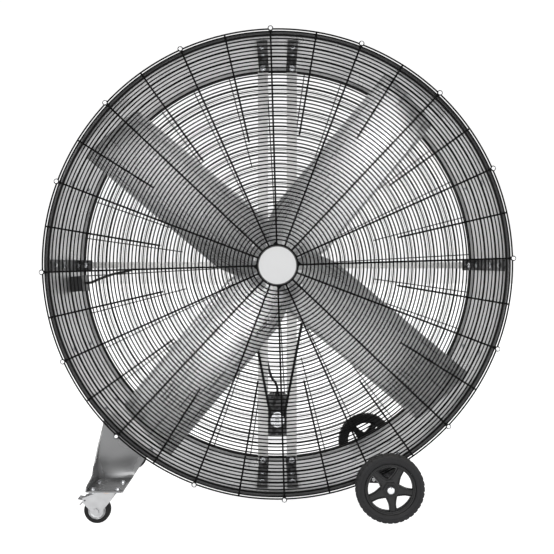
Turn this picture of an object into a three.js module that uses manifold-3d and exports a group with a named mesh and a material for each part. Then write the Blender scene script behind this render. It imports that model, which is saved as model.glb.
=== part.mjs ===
// A 60 inch class belt-drive drum fan on two wheels and two casters.
// Millimetres, +Z up, front of the fan towards -Y, origin on the floor under the middle of the drum.
import * as THREE from "three";
import { mergeVertices } from "three/addons/utils/BufferGeometryUtils.js";
import Module from "manifold-3d";

// Clearances
const SEAT_GAP = 0.3; // between pieces that rest on each other
const RUNNING_GAP = 0.4; // between a shaft and its bore, on the radius
const CUTTER_REACH = 60; // of a cutting tool, past what it cuts

// Drum
const DRUM_RADIUS = 797; // outside of the wall
const DRUM_WALL = 2;
const DRUM_SIDES = 48;
const BEAD_OUT = 4; // how far the rolled edge stands out of the wall
const BEAD_IN = 10; // and in
const BEAD_DEPTH = 14;

// Rotor, measured back from the drum's front edge
const BLADE_SETBACK = 66;
const BLADE_COUNT = 4;
const BLADE_FIRST_ANGLE = 50;
const BLADE_CHORD = 287;
const BLADE_PITCH = 28;
const BLADE_LEAD = 26; // how far each blade is set off its radius
const BLADE_CAMBER = 16;
const BLADE_THICKNESS = 2.5;
const BLADE_CORNER = 16; // clipped off both corners of the tip
const BLADE_ROOT_TAPER = 95; // length over which the root widens to the chord
const BLADE_ROOT_SHARE = 0.62; // of the chord, at the root
const BLADE_ROOT_RADIUS = 84;
const BLADE_TIP_CLEARANCE = 33;
const SPIDER_BOSS_RADIUS = 32;
const SPIDER_BOSS_LENGTH = 70;
const SPIDER_PAD_REACH = 150;
const SPIDER_PAD_WIDTH = 118;
const SPIDER_PAD_THICKNESS = 6;
const SHAFT_RADIUS = 12.7;
const SHAFT_NOSE = 12; // how far the shaft stands out of the boss

// Belt drive
const BELT_WIDTH = 13;
const BELT_THICKNESS = 9;
const BELT_RUNNING_GAP = 1.2; // over the groove, because both are many-sided
const FAN_PULLEY_RADIUS = 136;
const MOTOR_PULLEY_RADIUS = 27;
const GROOVE_DEPTH = 10;
const PULLEY_WIDTH = 22;
const PULLEY_GAP = 23.1; // from the blades back to the pulley
const MOTOR_DROP = 585; // from the fan's axis down to the motor's
const FAN_PULLEY_HUB = 34;
const PULLEY_WEB = 7;
const FAN_PULLEY_SIDES = 32;
const MOTOR_PULLEY_SIDES = 16;

// Motor
const MOTOR_RADIUS = 73;
const MOTOR_BODY_LENGTH = 96;
const MOTOR_BELL_LENGTH = 26;
const MOTOR_SHAFT_RADIUS = 8;
const MOTOR_PLATE_HEIGHT = 150;
const MOTOR_PLATE_THICKNESS = 6;
const MOTOR_FINS = 16;
const MOTOR_FIN_HEIGHT = 5;

// Two upright channels and one level strut carry the shaft and the motor
const CHANNEL_WIDTH = 38;
const CHANNEL_DEPTH = 43;
const CHANNEL_SPACING = 110;
const CHANNEL_WALL = 3;
const CHANNEL_GAP = 16; // from the pulley back to the channels
const STRUT_HEIGHT = 25;
const STRUT_DEPTH = 40;
const STRUT_GAP = 75; // from the channels back to the strut
const FOOT_THICKNESS = 5;
const CHANNEL_FOOT_REACH = 178; // forward along the wall
const CHANNEL_FOOT_TAB = 62; // the bent tab in front of the channel
const STRUT_FOOT_WIDTH = 40;
const STRUT_FOOT_REACH = 348;
const STRUT_FOOT_TAB = 58; // the bent tab in front of the strut
const BEARING_RADIUS = 31;
const BEARING_FLANGE = 10;
const BEARING_BOSS_RADIUS = 24;
const BEARING_LENGTH = 30;
const BEARING_PLATE_HEIGHT = 120;
const REAR_SPACE = 28; // behind the motor, up to the drum's rear edge

// Guards: welded wire rings on straight-sided spokes
const HOOP_STANDOFF = 13; // outside the drum wall
const HOOP_RADIUS = DRUM_RADIUS + HOOP_STANDOFF;
const HOOP_WIRE = 5;
const FIRST_RING_RADIUS = 86.1;
const RING_COUNT = 57;
const RING_PITCH = (HOOP_RADIUS - FIRST_RING_RADIUS) / RING_COUNT;
const FRONT_RING_STEP = 5; // every fifth ring of the real guard
const REAR_RING_STEP = 9;
const RING_WIRE_RADIUS = 2.9;
const SPOKE_WIRE = 4.4;
const SPOKE_COUNT = 16;
const WELD_RAISE = 1.6; // how much taller the welded spokes are
const WELDED_SPOKES = 2;
const HUB_RING_RADIUS = 69;
const SPOKE_INNER_RADIUS = 52;
const FRONT_SPOKE_ANGLE = 1.7;
const REAR_SPOKE_ANGLE = 3.2;
const SHORT_SPOKE_TURN = 11.25; // half way between two long spokes
// How far each short spoke reaches in from the hoop.
const SHORT_SPOKE_REACHES = [395, 347, 300, 364, 385, 381, 315, 409, 414, 379, 316, 414, 410, 333, 316, 400];
const DOME_SHOULDER = 410; // from the hoop in to the bend of the long spokes
const GUARD_DOME = [
  [SPOKE_INNER_RADIUS, 56],
  [HOOP_RADIUS - DOME_SHOULDER, 42],
  [HOOP_RADIUS, 0],
]; // radius and height of each bend of a spoke
const BADGE_RADIUS = 66;
const BADGE_THICKNESS = 3;
const BADGE_CROWN = 2;

// Switch box and motor cable
const BOX_ANGLE = 185.3;
const BOX_HEIGHT = 58;
const BOX_WIDTH = 44;
const BOX_LENGTH = 96;
const BOX_SETBACK = 256;
const BOX_COVER = 3;
const BOX_LIP = 2; // of the cover round the box
const KNOB_RADIUS = 20;
const KNOB_HEIGHT = 13;
const KNOB_STEM_RADIUS = 5;
const KNOB_SETBACK = 330;
const CABLE_RADIUS = 5;
const CABLE_EXIT = 66; // from the front of the box
const CABLE_TUCK = 8; // into the open back of the strut

// Wheels on the right
const WHEEL_RADIUS = 115.5;
const TYRE_INNER_RADIUS = 86;
const TYRE_WIDTH = 44;
const TYRE_SIDES = 24;
const RIM_SPOKES = 5;
const RIM_FIRST_SPOKE = -82;
const RIM_SPOKE_WIDTH = 17;
const RIM_BAND = 11; // from the windows out to the tyre
const RIM_WINDOW_RADIUS = TYRE_INNER_RADIUS - RIM_BAND;
const RIM_HUB_RADIUS = 30;
const RIM_DISC = 12;
const HUB_BARREL_RADIUS = 17;
const AXLE_RADIUS = 9.5;
const AXLE_TUBE_RADIUS = 14; // between the wheels
const AXLE_STUB = 6; // end of the axle outside the wheel
const AXLE_ANGLE = 63.25; // below level, seen from the front
const AXLE_STANDOFF = 38; // outside the drum wall
const WHEEL_GAP = 53; // from the drum's edge out to the tyre
const AXLE_CAP_RADIUS = 13;
const AXLE_CAP_WALL = 3;
const SADDLE_THICKNESS = 4;
const AXLE_SADDLE_ANGLES = [-72, -54];
const SADDLE_INSET = 18; // from the drum's edge
const LUG_THICKNESS = 8;
const LUG_EYE_RADIUS = 24;

// Pressed legs and casters on the left
const LEG_SADDLE_ANGLES = [217.5, 238.5];
const LEG_SHEET = 4;
const LEG_TOP_ANGLE = 221.7;
const LEG_LOW_ANGLE = 235.5;
const LEG_INSET = 20; // of the upright web from the drum's edge
const LEG_FLANGE_TOP = 14;
const LEG_FLANGE_BASE = 56;
const SHELF_LENGTH = 156; // from the web out under the caster's far bolts
const SHELF_MARGIN = 9;
const LEG_TOE = 18; // height of the upright lip round the shelf
const LEG_KNEE = 165; // from the top of the outer edge down to its bend
const LEG_SPREAD = 8; // how far it leans out on the way
const CASTER_REACH = 566; // swivel axis to the middle of the fan
const CASTER_GAP = 73; // swivel axis to the drum's edge
const CASTER_HEIGHT = 118;
const CASTER_PLATE = [105, 95, 4];
const CASTER_RACE_RADIUS = 25;
const CASTER_RACE_HEIGHT = 8;
const CASTER_TRAIL = 36;
const CASTER_RADIUS = 44;
const CASTER_WIDTH = 30;
const CASTER_HUB_RADIUS = 29;
const CASTER_SIDES = 20;
const FORK_SHEET = 3;
const FORK_GAP = 2.5;
const FORK_CROWN = 58;
const CASTER_BOLT_RADIUS = 6;
const PEDAL_PIVOT = [-38, 36]; // from the wheel's centre
const PEDAL_BARREL = 4;
const PEDAL_SHEET = 3;
const PEDAL_REACH = 25;
const PEDAL_SHOE = 14.7;

// Places worked out from the sizes above
const rad = THREE.MathUtils.degToRad;
const AXLE_RING = DRUM_RADIUS + AXLE_STANDOFF;
const AXIS_HEIGHT = WHEEL_RADIUS + AXLE_RING * Math.sin(rad(AXLE_ANGLE));
const WHEEL_X = AXLE_RING * Math.cos(rad(AXLE_ANGLE));
const BLADE_DEPTH = BLADE_CHORD * Math.sin(rad(BLADE_PITCH));
const MOTOR_LENGTH = MOTOR_BODY_LENGTH + 2 * MOTOR_BELL_LENGTH + 3 * SEAT_GAP;
const PULLEY_FRONT = BLADE_SETBACK + BLADE_DEPTH + PULLEY_GAP;
const CHANNEL_FRONT = PULLEY_FRONT + PULLEY_WIDTH + CHANNEL_GAP;
const MOTOR_FRONT = CHANNEL_FRONT + CHANNEL_DEPTH + MOTOR_PLATE_THICKNESS + SEAT_GAP;
const DRUM_DEPTH = MOTOR_FRONT + MOTOR_LENGTH + REAR_SPACE;
const DRUM_FRONT = -DRUM_DEPTH / 2;
const fromFront = (depth) => DRUM_FRONT + depth;
const FACET_STEP = 360 / DRUM_SIDES;

// The turn between a clock angle and the middle of the drum facet that lies there.
const facetTurn = (angle) => ((((angle % FACET_STEP) + FACET_STEP) % FACET_STEP) - FACET_STEP / 2);

// How far from the axis a flat piece lies that is seated inside the many-sided wall.
function seatInside(angle, halfWidth) {
  const apothem = (DRUM_RADIUS - DRUM_WALL) * Math.cos(rad(FACET_STEP / 2));
  const seats = [-FACET_STEP, 0, FACET_STEP].map((next) => {
    const turn = Math.abs(rad(facetTurn(angle) + next));
    return (apothem - halfWidth * Math.sin(turn)) / Math.cos(turn);
  });
  return Math.min(...seats) - SEAT_GAP;
}

// The same for a flat piece on the outside of the wall.
function seatOutside(angle, halfWidth) {
  const turn = Math.abs(rad(facetTurn(angle)));
  const apothem = DRUM_RADIUS * Math.cos(rad(FACET_STEP / 2));
  return (apothem + halfWidth * Math.sin(turn)) / Math.cos(turn) + SEAT_GAP;
}

const CHANNEL_TURN = THREE.MathUtils.radToDeg(Math.asin(CHANNEL_SPACING / 2 / DRUM_RADIUS));
const CHANNEL_SEAT = seatInside(90 - CHANNEL_TURN, CHANNEL_WIDTH / 2);
const STRUT_SEAT = seatInside(0, STRUT_FOOT_WIDTH / 2);
const BOX_SEAT = seatInside(BOX_ANGLE, BOX_HEIGHT / 2 + BOX_LIP);
const KNOB_SEAT = seatOutside(BOX_ANGLE, KNOB_RADIUS);
const CHANNEL_Y = fromFront(CHANNEL_FRONT);
const CHANNEL_BACK = CHANNEL_Y + CHANNEL_DEPTH;
const STRUT_Y = CHANNEL_BACK + STRUT_GAP;
const BLADE_Y = fromFront(BLADE_SETBACK + BLADE_DEPTH / 2 + BLADE_CAMBER);
const BLADE_TIP_RADIUS = DRUM_RADIUS - DRUM_WALL - BLADE_TIP_CLEARANCE;
const PULLEY_Y = fromFront(PULLEY_FRONT + PULLEY_WIDTH / 2);
const SHAFT_START = BLADE_Y - SPIDER_BOSS_LENGTH / 2 - SHAFT_NOSE;
const REAR_BEARING_Y = STRUT_Y - BEARING_LENGTH - SEAT_GAP;
const WHEEL_Y = DRUM_DEPTH / 2 + WHEEL_GAP + TYRE_WIDTH / 2;
const CASTER_Y = DRUM_DEPTH / 2 + CASTER_GAP;
const WEB_Y = DRUM_DEPTH / 2 - LEG_INSET;

// Materials
const paint = (color, roughness, metalness) =>
  new THREE.MeshStandardMaterial({ color, roughness, metalness });
const charcoal = paint(0x3a3b3d, 0.45, 0.5);
const blackPaint = paint(0x17181a, 0.4, 0.3);
const greySteel = paint(0x8d9093, 0.4, 0.8);
const legSteel = paint(0x77797c, 0.35, 0.8);
const zinc = paint(0xc9ccd0, 0.3, 0.9);
const castIron = paint(0x2b2c2e, 0.6, 0.5);
const rubber = paint(0x232323, 0.85, 0);
const tyreRubber = paint(0x3b3c3d, 0.8, 0);
const plastic = paint(0x1d1e20, 0.5, 0);
const badgeWhite = paint(0xeceeef, 0.35, 0.1);

// A closed geometry as a solid for joining and cutting, and back again.
const wasm = await Module();
wasm.setup();

function toSolid(geometry) {
  const bare = geometry.clone();
  bare.deleteAttribute("normal");
  bare.deleteAttribute("uv");
  const merged = mergeVertices(bare, 1e-3);
  return new wasm.Manifold(
    new wasm.Mesh({
      numProp: 3,
      vertProperties: merged.attributes.position.array,
      triVerts: new Uint32Array(merged.index.array),
    }),
  );
}

function toGeometry(solid) {
  const { vertProperties, triVerts } = solid.getMesh();
  const geometry = new THREE.BufferGeometry();
  geometry.setAttribute("position", new THREE.BufferAttribute(new Float32Array(vertProperties), 3));
  geometry.setIndex(new THREE.BufferAttribute(new Uint32Array(triVerts), 1));
  geometry.computeVertexNormals();
  return geometry;
}

const join = (...parts) => toGeometry(parts.map(toSolid).reduce((whole, part) => whole.add(part)));
const cut = (whole, ...tools) =>
  toGeometry(tools.map(toSolid).reduce((left, tool) => left.subtract(tool), toSolid(whole)));

// A profile of [radius, y] points turned about the Y axis; its points run anticlockwise.
function revolve(profile, sides) {
  const points = profile.map(([r, y]) => new THREE.Vector2(r, y));
  if (THREE.ShapeUtils.area(points) < 0) points.reverse();
  const open = points[0].x === 0 && points[points.length - 1].x === 0;
  return new THREE.LatheGeometry(open ? points : [...points, points[0].clone()], sides);
}

const outline = (points) => new THREE.Shape(points.map(([x, y]) => new THREE.Vector2(x, y)));
const extrude = (shape, depth, curveSegments = 8) =>
  new THREE.ExtrudeGeometry(shape, { depth, bevelEnabled: false, curveSegments });

// A sheet with its outline in X and Z and its thickness from y towards +Y.
const sheetXZ = (shape, y, thickness, curveSegments) =>
  extrude(shape, thickness, curveSegments).rotateX(Math.PI / 2).translate(0, y + thickness, 0);

// A section in Y and Z drawn out along X.
const toAlongX = new THREE.Matrix4().makeBasis(
  new THREE.Vector3(0, 1, 0),
  new THREE.Vector3(0, 0, 1),
  new THREE.Vector3(1, 0, 0),
);
const alongX = (shape, x, length) => extrude(shape, length).applyMatrix4(toAlongX).translate(x, 0, 0);

// A block given by its lowest and highest corners.
const block = (low, high) =>
  new THREE.BoxGeometry(...high.map((v, i) => v - low[i])).translate(
    ...high.map((v, i) => (v + low[i]) / 2),
  );

// A round bar along Y.
const rod = (radius, y0, y1, sides = 16) =>
  new THREE.CylinderGeometry(radius, radius, y1 - y0, sides).translate(0, (y0 + y1) / 2, 0);

// Turns what is drawn at the three o'clock side of the fan to another clock angle, in degrees.
const atClock = (geometry, angle) => geometry.rotateY(-rad(angle));

// The distance from the axis to a many-sided drum surface in one direction.
const facetRadius = (vertexRadius, angle) =>
  (vertexRadius * Math.cos(rad(FACET_STEP / 2))) / Math.cos(rad(facetTurn(angle)));

// Points on a drum surface between two clock angles, at every facet edge.
function drumArc(vertexRadius, from, to) {
  const angles = [from];
  const firstEdge = (Math.floor(from / FACET_STEP) + 1) * FACET_STEP;
  for (let a = firstEdge; a < to - 1e-6; a += FACET_STEP) angles.push(a);
  angles.push(to);
  return angles.map((a) => {
    const r = facetRadius(vertexRadius, a);
    return [r * Math.cos(rad(a)), r * Math.sin(rad(a))];
  });
}

// ---- Drum ----

function drumShell() {
  const half = DRUM_DEPTH / 2;
  const inside = DRUM_RADIUS - DRUM_WALL;
  const rolledEdge = [
    [DRUM_RADIUS, half - BEAD_DEPTH + 2],
    [DRUM_RADIUS + BEAD_OUT, half - BEAD_DEPTH / 2],
    [DRUM_RADIUS + BEAD_OUT / 2, half],
    [DRUM_RADIUS - BEAD_IN, half],
    [DRUM_RADIUS - BEAD_IN - 2, half - BEAD_DEPTH / 2],
    [inside, half - BEAD_DEPTH],
  ];
  const otherEdge = rolledEdge.map(([r, y]) => [r, -y]).reverse();
  const stemHole = new THREE.CylinderGeometry(KNOB_STEM_RADIUS + 0.6, KNOB_STEM_RADIUS + 0.6, CUTTER_REACH, 12)
    .rotateZ(Math.PI / 2)
    .translate(DRUM_RADIUS, fromFront(KNOB_SETBACK), 0);
  return cut(revolve([...rolledEdge, ...otherEdge], DRUM_SIDES), atClock(stemHole, BOX_ANGLE));
}

// ---- Guards ----

// Height of the wire dome over the plane of the hoop, straight between the bends.
function domeHeight(radius) {
  const next = GUARD_DOME.findIndex(([r]) => r >= radius);
  const [r1, h1] = GUARD_DOME[Math.max(next, 1)];
  const [r0, h0] = GUARD_DOME[Math.max(next, 1) - 1];
  return h0 + ((h1 - h0) * (radius - r0)) / (r1 - r0);
}

// One spoke from its start radius to the hoop, bent where the dome bends.
function spoke(start, raise) {
  const end = HOOP_RADIUS - HOOP_WIRE / 2;
  const radii = [start, ...GUARD_DOME.map(([r]) => r).filter((r) => r > start + 1 && r < end), end];
  const front = radii.map((r) => [r, domeHeight(r) + SPOKE_WIRE / 2 + raise]);
  const back = radii.map((r) => [r, domeHeight(r) - SPOKE_WIRE / 2]).reverse();
  return extrude(outline([...back, ...front]), SPOKE_WIRE).translate(0, 0, -SPOKE_WIRE / 2);
}

// One ring of three-sided wire, its flat towards the spokes and clear of the plain ones.
function ring(radius) {
  const sides = radius < 150 ? 16 : radius < 450 ? 20 : 24;
  const wide = RING_WIRE_RADIUS * Math.cos(rad(30));
  const nearest = radius * Math.cos(Math.PI / sides) - wide;
  const height = domeHeight(nearest) + SPOKE_WIRE / 2 + SEAT_GAP;
  const section = [
    [radius - wide, height],
    [radius + wide, height],
    [radius, height + 1.5 * RING_WIRE_RADIUS],
  ];
  return revolve(section, sides);
}

function squareRing(radius, height, wire, sides) {
  const half = wire / 2;
  const section = [
    [radius - half, height - half],
    [radius + half, height - half],
    [radius + half, height + half],
    [radius - half, height + half],
  ];
  return revolve(section, sides);
}

// The whole guard, its dome towards +Y and its hoop in the plane y = 0.
function guard(ringStep, firstAngle) {
  const pieces = [
    squareRing(HOOP_RADIUS - HOOP_WIRE / 2, 0, HOOP_WIRE, 2 * SPOKE_COUNT),
    squareRing(HUB_RING_RADIUS, domeHeight(HUB_RING_RADIUS) + WELD_RAISE, SPOKE_WIRE, SPOKE_COUNT),
  ];
  const lastRing = HOOP_RADIUS - 2 * RING_PITCH;
  for (let r = FIRST_RING_RADIUS; r < lastRing; r += ringStep * RING_PITCH) pieces.push(ring(r));
  for (let k = 0; k < SPOKE_COUNT; k++) {
    const angle = firstAngle + (k * 360) / SPOKE_COUNT;
    const welded = k % (SPOKE_COUNT / WELDED_SPOKES) === 0; // the others pass just under the rings
    pieces.push(atClock(spoke(SPOKE_INNER_RADIUS, welded ? WELD_RAISE : 0), angle));
    pieces.push(atClock(spoke(HOOP_RADIUS - SHORT_SPOKE_REACHES[k], 0), angle + SHORT_SPOKE_TURN));
  }
  return toGeometry(wasm.Manifold.union(pieces.map(toSolid)));
}

// Where the spokes cross the rolled edge of the drum they lie just off its flat.
const GUARD_Y = DRUM_DEPTH / 2 + SPOKE_WIRE / 2 + SEAT_GAP - domeHeight(DRUM_RADIUS + BEAD_OUT / 2);

// The front guard is the same form with its dome towards -Y.
const frontGuard = () => mirrored(guard(FRONT_RING_STEP, FRONT_SPOKE_ANGLE));
const rearGuard = () => guard(REAR_RING_STEP, REAR_SPOKE_ANGLE);

function badge() {
  const profile = [
    [0, 0],
    [BADGE_RADIUS, 0],
    [BADGE_RADIUS, -BADGE_THICKNESS],
    [BADGE_RADIUS - 3, -BADGE_THICKNESS - BADGE_CROWN / 2],
    [0, -BADGE_THICKNESS - BADGE_CROWN],
  ];
  return revolve(profile, 32);
}

// ---- Rotor ----

// The line of a cambered blade across its chord, bulging towards +Y.
function camberLine(steps, offset) {
  const points = [];
  for (let i = 0; i <= steps; i++) {
    const t = i / steps;
    points.push([(t - 0.5) * BLADE_CHORD, BLADE_CAMBER * 4 * t * (1 - t) - BLADE_CAMBER + offset]);
  }
  return points;
}

// One blade along +X: the section is drawn out from root to tip and trimmed to its plan.
function blade() {
  const section = outline([
    ...camberLine(6, -BLADE_THICKNESS),
    ...camberLine(6, 0).reverse(),
  ]);
  const toRadial = new THREE.Matrix4().makeBasis(
    new THREE.Vector3(0, 0, -1),
    new THREE.Vector3(0, 1, 0),
    new THREE.Vector3(1, 0, 0),
  );
  const sheet = extrude(section, BLADE_TIP_RADIUS - BLADE_ROOT_RADIUS)
    .applyMatrix4(toRadial)
    .translate(BLADE_ROOT_RADIUS, 0, 0);
  const half = BLADE_CHORD / 2;
  const plan = outline([
    [BLADE_ROOT_RADIUS, -half * BLADE_ROOT_SHARE],
    [BLADE_ROOT_RADIUS + BLADE_ROOT_TAPER, -half],
    [BLADE_TIP_RADIUS - BLADE_CORNER, -half],
    [BLADE_TIP_RADIUS, -half + BLADE_CORNER],
    [BLADE_TIP_RADIUS, half - BLADE_CORNER],
    [BLADE_TIP_RADIUS - BLADE_CORNER, half],
    [BLADE_ROOT_RADIUS + BLADE_ROOT_TAPER, half],
    [BLADE_ROOT_RADIUS, half * BLADE_ROOT_SHARE],
  ]);
  const trim = sheetXZ(plan, -BLADE_CHORD / 2, BLADE_CHORD);
  const trimmed = toGeometry(toSolid(sheet).intersect(toSolid(trim)));
  return trimmed.translate(0, 0, BLADE_LEAD).rotateX(rad(BLADE_PITCH));
}

const SPIDER_DROP = BLADE_CAMBER + BLADE_THICKNESS; // the pads lie behind the crown of the blades

// The cast hub: a boss on the shaft and one pitched pad for each blade.
function hubSpider() {
  const half = SPIDER_BOSS_LENGTH / 2;
  const boss = rod(SPIDER_BOSS_RADIUS, -half, half, 20);
  const pads = [];
  for (let k = 0; k < BLADE_COUNT; k++) {
    const pad = block(
      [SPIDER_BOSS_RADIUS - 12, SEAT_GAP, -SPIDER_PAD_WIDTH / 2],
      [SPIDER_PAD_REACH, SEAT_GAP + SPIDER_PAD_THICKNESS, SPIDER_PAD_WIDTH / 2],
    );
    const tapered = cut(pad, cornerCut(1), cornerCut(-1)).rotateX(rad(BLADE_PITCH));
    pads.push(atClock(tapered, BLADE_FIRST_ANGLE + (k * 360) / BLADE_COUNT));
  }
  return cut(join(boss, ...pads), rod(SHAFT_RADIUS + RUNNING_GAP, -SPIDER_BOSS_LENGTH, SPIDER_BOSS_LENGTH, 16));
}

// Takes the inner corner off a pad, towards the boss.
function cornerCut(side) {
  const shape = outline([
    [0, side * 16],
    [SPIDER_PAD_REACH - 60, side * (SPIDER_PAD_WIDTH / 2 + 1)],
    [0, side * (SPIDER_PAD_WIDTH / 2 + 1)],
  ]);
  return sheetXZ(shape, -CUTTER_REACH / 2, CUTTER_REACH);
}

const fanShaft = () => rod(SHAFT_RADIUS, SHAFT_START, STRUT_Y - 2, 16);

// A grooved pulley about the Y axis, centred on y = 0. Its face towards -Y is hollowed to a web.
function pulley(radius, bore, hub, web, sides) {
  const half = PULLEY_WIDTH / 2;
  const bottom = radius - GROOVE_DEPTH;
  const rim = bottom - 8;
  const profile = [
    [bore, -half],
    [hub, -half],
    [hub, half - web],
    [rim, half - web],
    [rim, -half],
    [radius, -half],
    [bottom, -BELT_WIDTH / 2 - RUNNING_GAP],
    [bottom, BELT_WIDTH / 2 + RUNNING_GAP],
    [radius, half],
    [bore, half],
  ];
  const hollow = rim > hub + 5;
  return revolve(hollow ? profile : profile.filter((_, i) => i < 1 || i > 4), sides);
}

const fanPulley = () =>
  pulley(FAN_PULLEY_RADIUS, SHAFT_RADIUS + RUNNING_GAP, FAN_PULLEY_HUB, PULLEY_WEB, FAN_PULLEY_SIDES);
const motorPulley = () =>
  pulley(MOTOR_PULLEY_RADIUS, MOTOR_SHAFT_RADIUS + RUNNING_GAP, MOTOR_PULLEY_RADIUS, 0, MOTOR_PULLEY_SIDES);

// ---- Belt ----

// The belt's line round both pulleys, at a distance outside the groove bottoms.
function beltLine(outside) {
  const big = FAN_PULLEY_RADIUS - GROOVE_DEPTH + outside;
  const small = MOTOR_PULLEY_RADIUS - GROOVE_DEPTH + outside;
  const lean = Math.asin((big - small) / MOTOR_DROP);
  const shape = new THREE.Shape();
  shape.absarc(0, 0, big, -lean, Math.PI + lean, false);
  shape.absarc(0, -MOTOR_DROP, small, Math.PI + lean, 2 * Math.PI - lean, false);
  shape.closePath();
  return shape;
}

function driveBelt() {
  const outer = beltLine(BELT_RUNNING_GAP + BELT_THICKNESS);
  outer.holes.push(beltLine(BELT_RUNNING_GAP));
  return sheetXZ(outer, -BELT_WIDTH / 2, BELT_WIDTH, 10);
}

// ---- Frame inside the drum ----

// An upright channel, open to the rear, cut square where it meets its feet.
function mountChannel() {
  const half = CHANNEL_WIDTH / 2;
  const outerEdge = CHANNEL_SPACING / 2 + half;
  const tilt = rad(CHANNEL_TURN);
  const end = (CHANNEL_SEAT - FOOT_THICKNESS - SEAT_GAP - outerEdge * Math.sin(tilt)) / Math.cos(tilt);
  const section = outline([
    [-half, 0],
    [half, 0],
    [half, CHANNEL_DEPTH],
    [half - CHANNEL_WALL, CHANNEL_DEPTH],
    [half - CHANNEL_WALL, CHANNEL_WALL],
    [-half + CHANNEL_WALL, CHANNEL_WALL],
    [-half + CHANNEL_WALL, CHANNEL_DEPTH],
    [-half, CHANNEL_DEPTH],
  ]);
  return extrude(section, 2 * end).translate(0, 0, -end);
}

// A bent foot: a plate along the wall and a tab in front of the channel.
// Drawn at three o'clock.
function channelFoot() {
  const half = CHANNEL_WIDTH / 2;
  const plate = block(
    [-FOOT_THICKNESS, -CHANNEL_FOOT_REACH, -half],
    [0, CHANNEL_DEPTH, half],
  );
  const tab = block(
    [-CHANNEL_FOOT_TAB, -FOOT_THICKNESS - SEAT_GAP, -half],
    [0, -SEAT_GAP, half],
  );
  return join(plate, tab).translate(CHANNEL_SEAT, CHANNEL_Y, 0);
}

function crossStrut() {
  const half = STRUT_HEIGHT / 2;
  const length = 2 * (STRUT_SEAT - FOOT_THICKNESS - SEAT_GAP);
  const section = outline([
    [0, -half],
    [STRUT_DEPTH, -half],
    [STRUT_DEPTH, -half + CHANNEL_WALL],
    [CHANNEL_WALL, -half + CHANNEL_WALL],
    [CHANNEL_WALL, half - CHANNEL_WALL],
    [STRUT_DEPTH, half - CHANNEL_WALL],
    [STRUT_DEPTH, half],
    [0, half],
  ]);
  return alongX(section, -length / 2, length).translate(0, STRUT_Y, 0);
}

function strutFoot() {
  const half = STRUT_FOOT_WIDTH / 2;
  const back = STRUT_Y + STRUT_DEPTH;
  const plate = block([-FOOT_THICKNESS, back - STRUT_FOOT_REACH - STRUT_DEPTH, -half], [0, back, half]);
  const tab = block([-STRUT_FOOT_TAB, STRUT_Y - FOOT_THICKNESS - SEAT_GAP, -half], [0, STRUT_Y - SEAT_GAP, half]);
  return join(plate, tab).translate(STRUT_SEAT, 0, 0);
}

// A flanged bearing housing, its flange face at y = 0 and its boss towards +Y.
function bearing() {
  const profile = [
    [SHAFT_RADIUS + RUNNING_GAP, 0],
    [BEARING_RADIUS, 0],
    [BEARING_RADIUS, BEARING_FLANGE],
    [BEARING_BOSS_RADIUS, BEARING_FLANGE + 3],
    [BEARING_BOSS_RADIUS - 3, BEARING_LENGTH],
    [SHAFT_RADIUS + RUNNING_GAP, BEARING_LENGTH],
  ];
  return revolve(profile, 16);
}

const BEARING_PLATE_SHEET = 6;

function bearingPlate() {
  const half = CHANNEL_SPACING / 2 + CHANNEL_WIDTH / 2;
  const shape = outline([
    [-half, -BEARING_PLATE_HEIGHT / 2],
    [half, -BEARING_PLATE_HEIGHT / 2],
    [half, BEARING_PLATE_HEIGHT / 2],
    [-half, BEARING_PLATE_HEIGHT / 2],
  ]);
  const hole = new THREE.Path().absarc(0, 0, SHAFT_RADIUS + 4, 0, 2 * Math.PI, true);
  shape.holes.push(hole);
  return sheetXZ(shape, CHANNEL_Y - SEAT_GAP - BEARING_PLATE_SHEET, BEARING_PLATE_SHEET);
}

// ---- Motor ----

function motorMountPlate() {
  const half = CHANNEL_SPACING / 2 + CHANNEL_WIDTH / 2;
  const shape = outline([
    [-half, -MOTOR_PLATE_HEIGHT / 2],
    [half, -MOTOR_PLATE_HEIGHT / 2],
    [half, MOTOR_PLATE_HEIGHT / 2],
    [-half, MOTOR_PLATE_HEIGHT / 2],
  ]);
  shape.holes.push(new THREE.Path().absarc(0, 0, MOTOR_SHAFT_RADIUS + 10, 0, 2 * Math.PI, true));
  return sheetXZ(shape, CHANNEL_BACK + SEAT_GAP, MOTOR_PLATE_THICKNESS - SEAT_GAP);
}

const BELL_FRONT_Y = fromFront(MOTOR_FRONT);
const BODY_Y = BELL_FRONT_Y + MOTOR_BELL_LENGTH + SEAT_GAP;
const BELL_REAR_Y = BODY_Y + MOTOR_BODY_LENGTH + SEAT_GAP;

// The finned frame of the motor with its cable gland on top.
function motorBody() {
  const points = [];
  for (let k = 0; k < MOTOR_FINS; k++) {
    const middle = (k * 360) / MOTOR_FINS;
    const edges = [
      [-8, MOTOR_RADIUS - MOTOR_FIN_HEIGHT],
      [-2.5, MOTOR_RADIUS],
      [2.5, MOTOR_RADIUS],
      [8, MOTOR_RADIUS - MOTOR_FIN_HEIGHT],
    ];
    for (const [turn, r] of edges)
      points.push([r * Math.cos(rad(middle + turn)), r * Math.sin(rad(middle + turn))]);
  }
  const frame = sheetXZ(outline(points), BODY_Y, MOTOR_BODY_LENGTH);
  const gland = new THREE.CylinderGeometry(CABLE_RADIUS + 4, CABLE_RADIUS + 4, 16, 12)
    .rotateX(Math.PI / 2)
    .translate(0, GLAND_Y, MOTOR_RADIUS + 2);
  return join(frame, gland);
}

const GLAND_Y = BODY_Y + 30;
const GLAND_TOP = MOTOR_RADIUS + 10;

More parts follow.
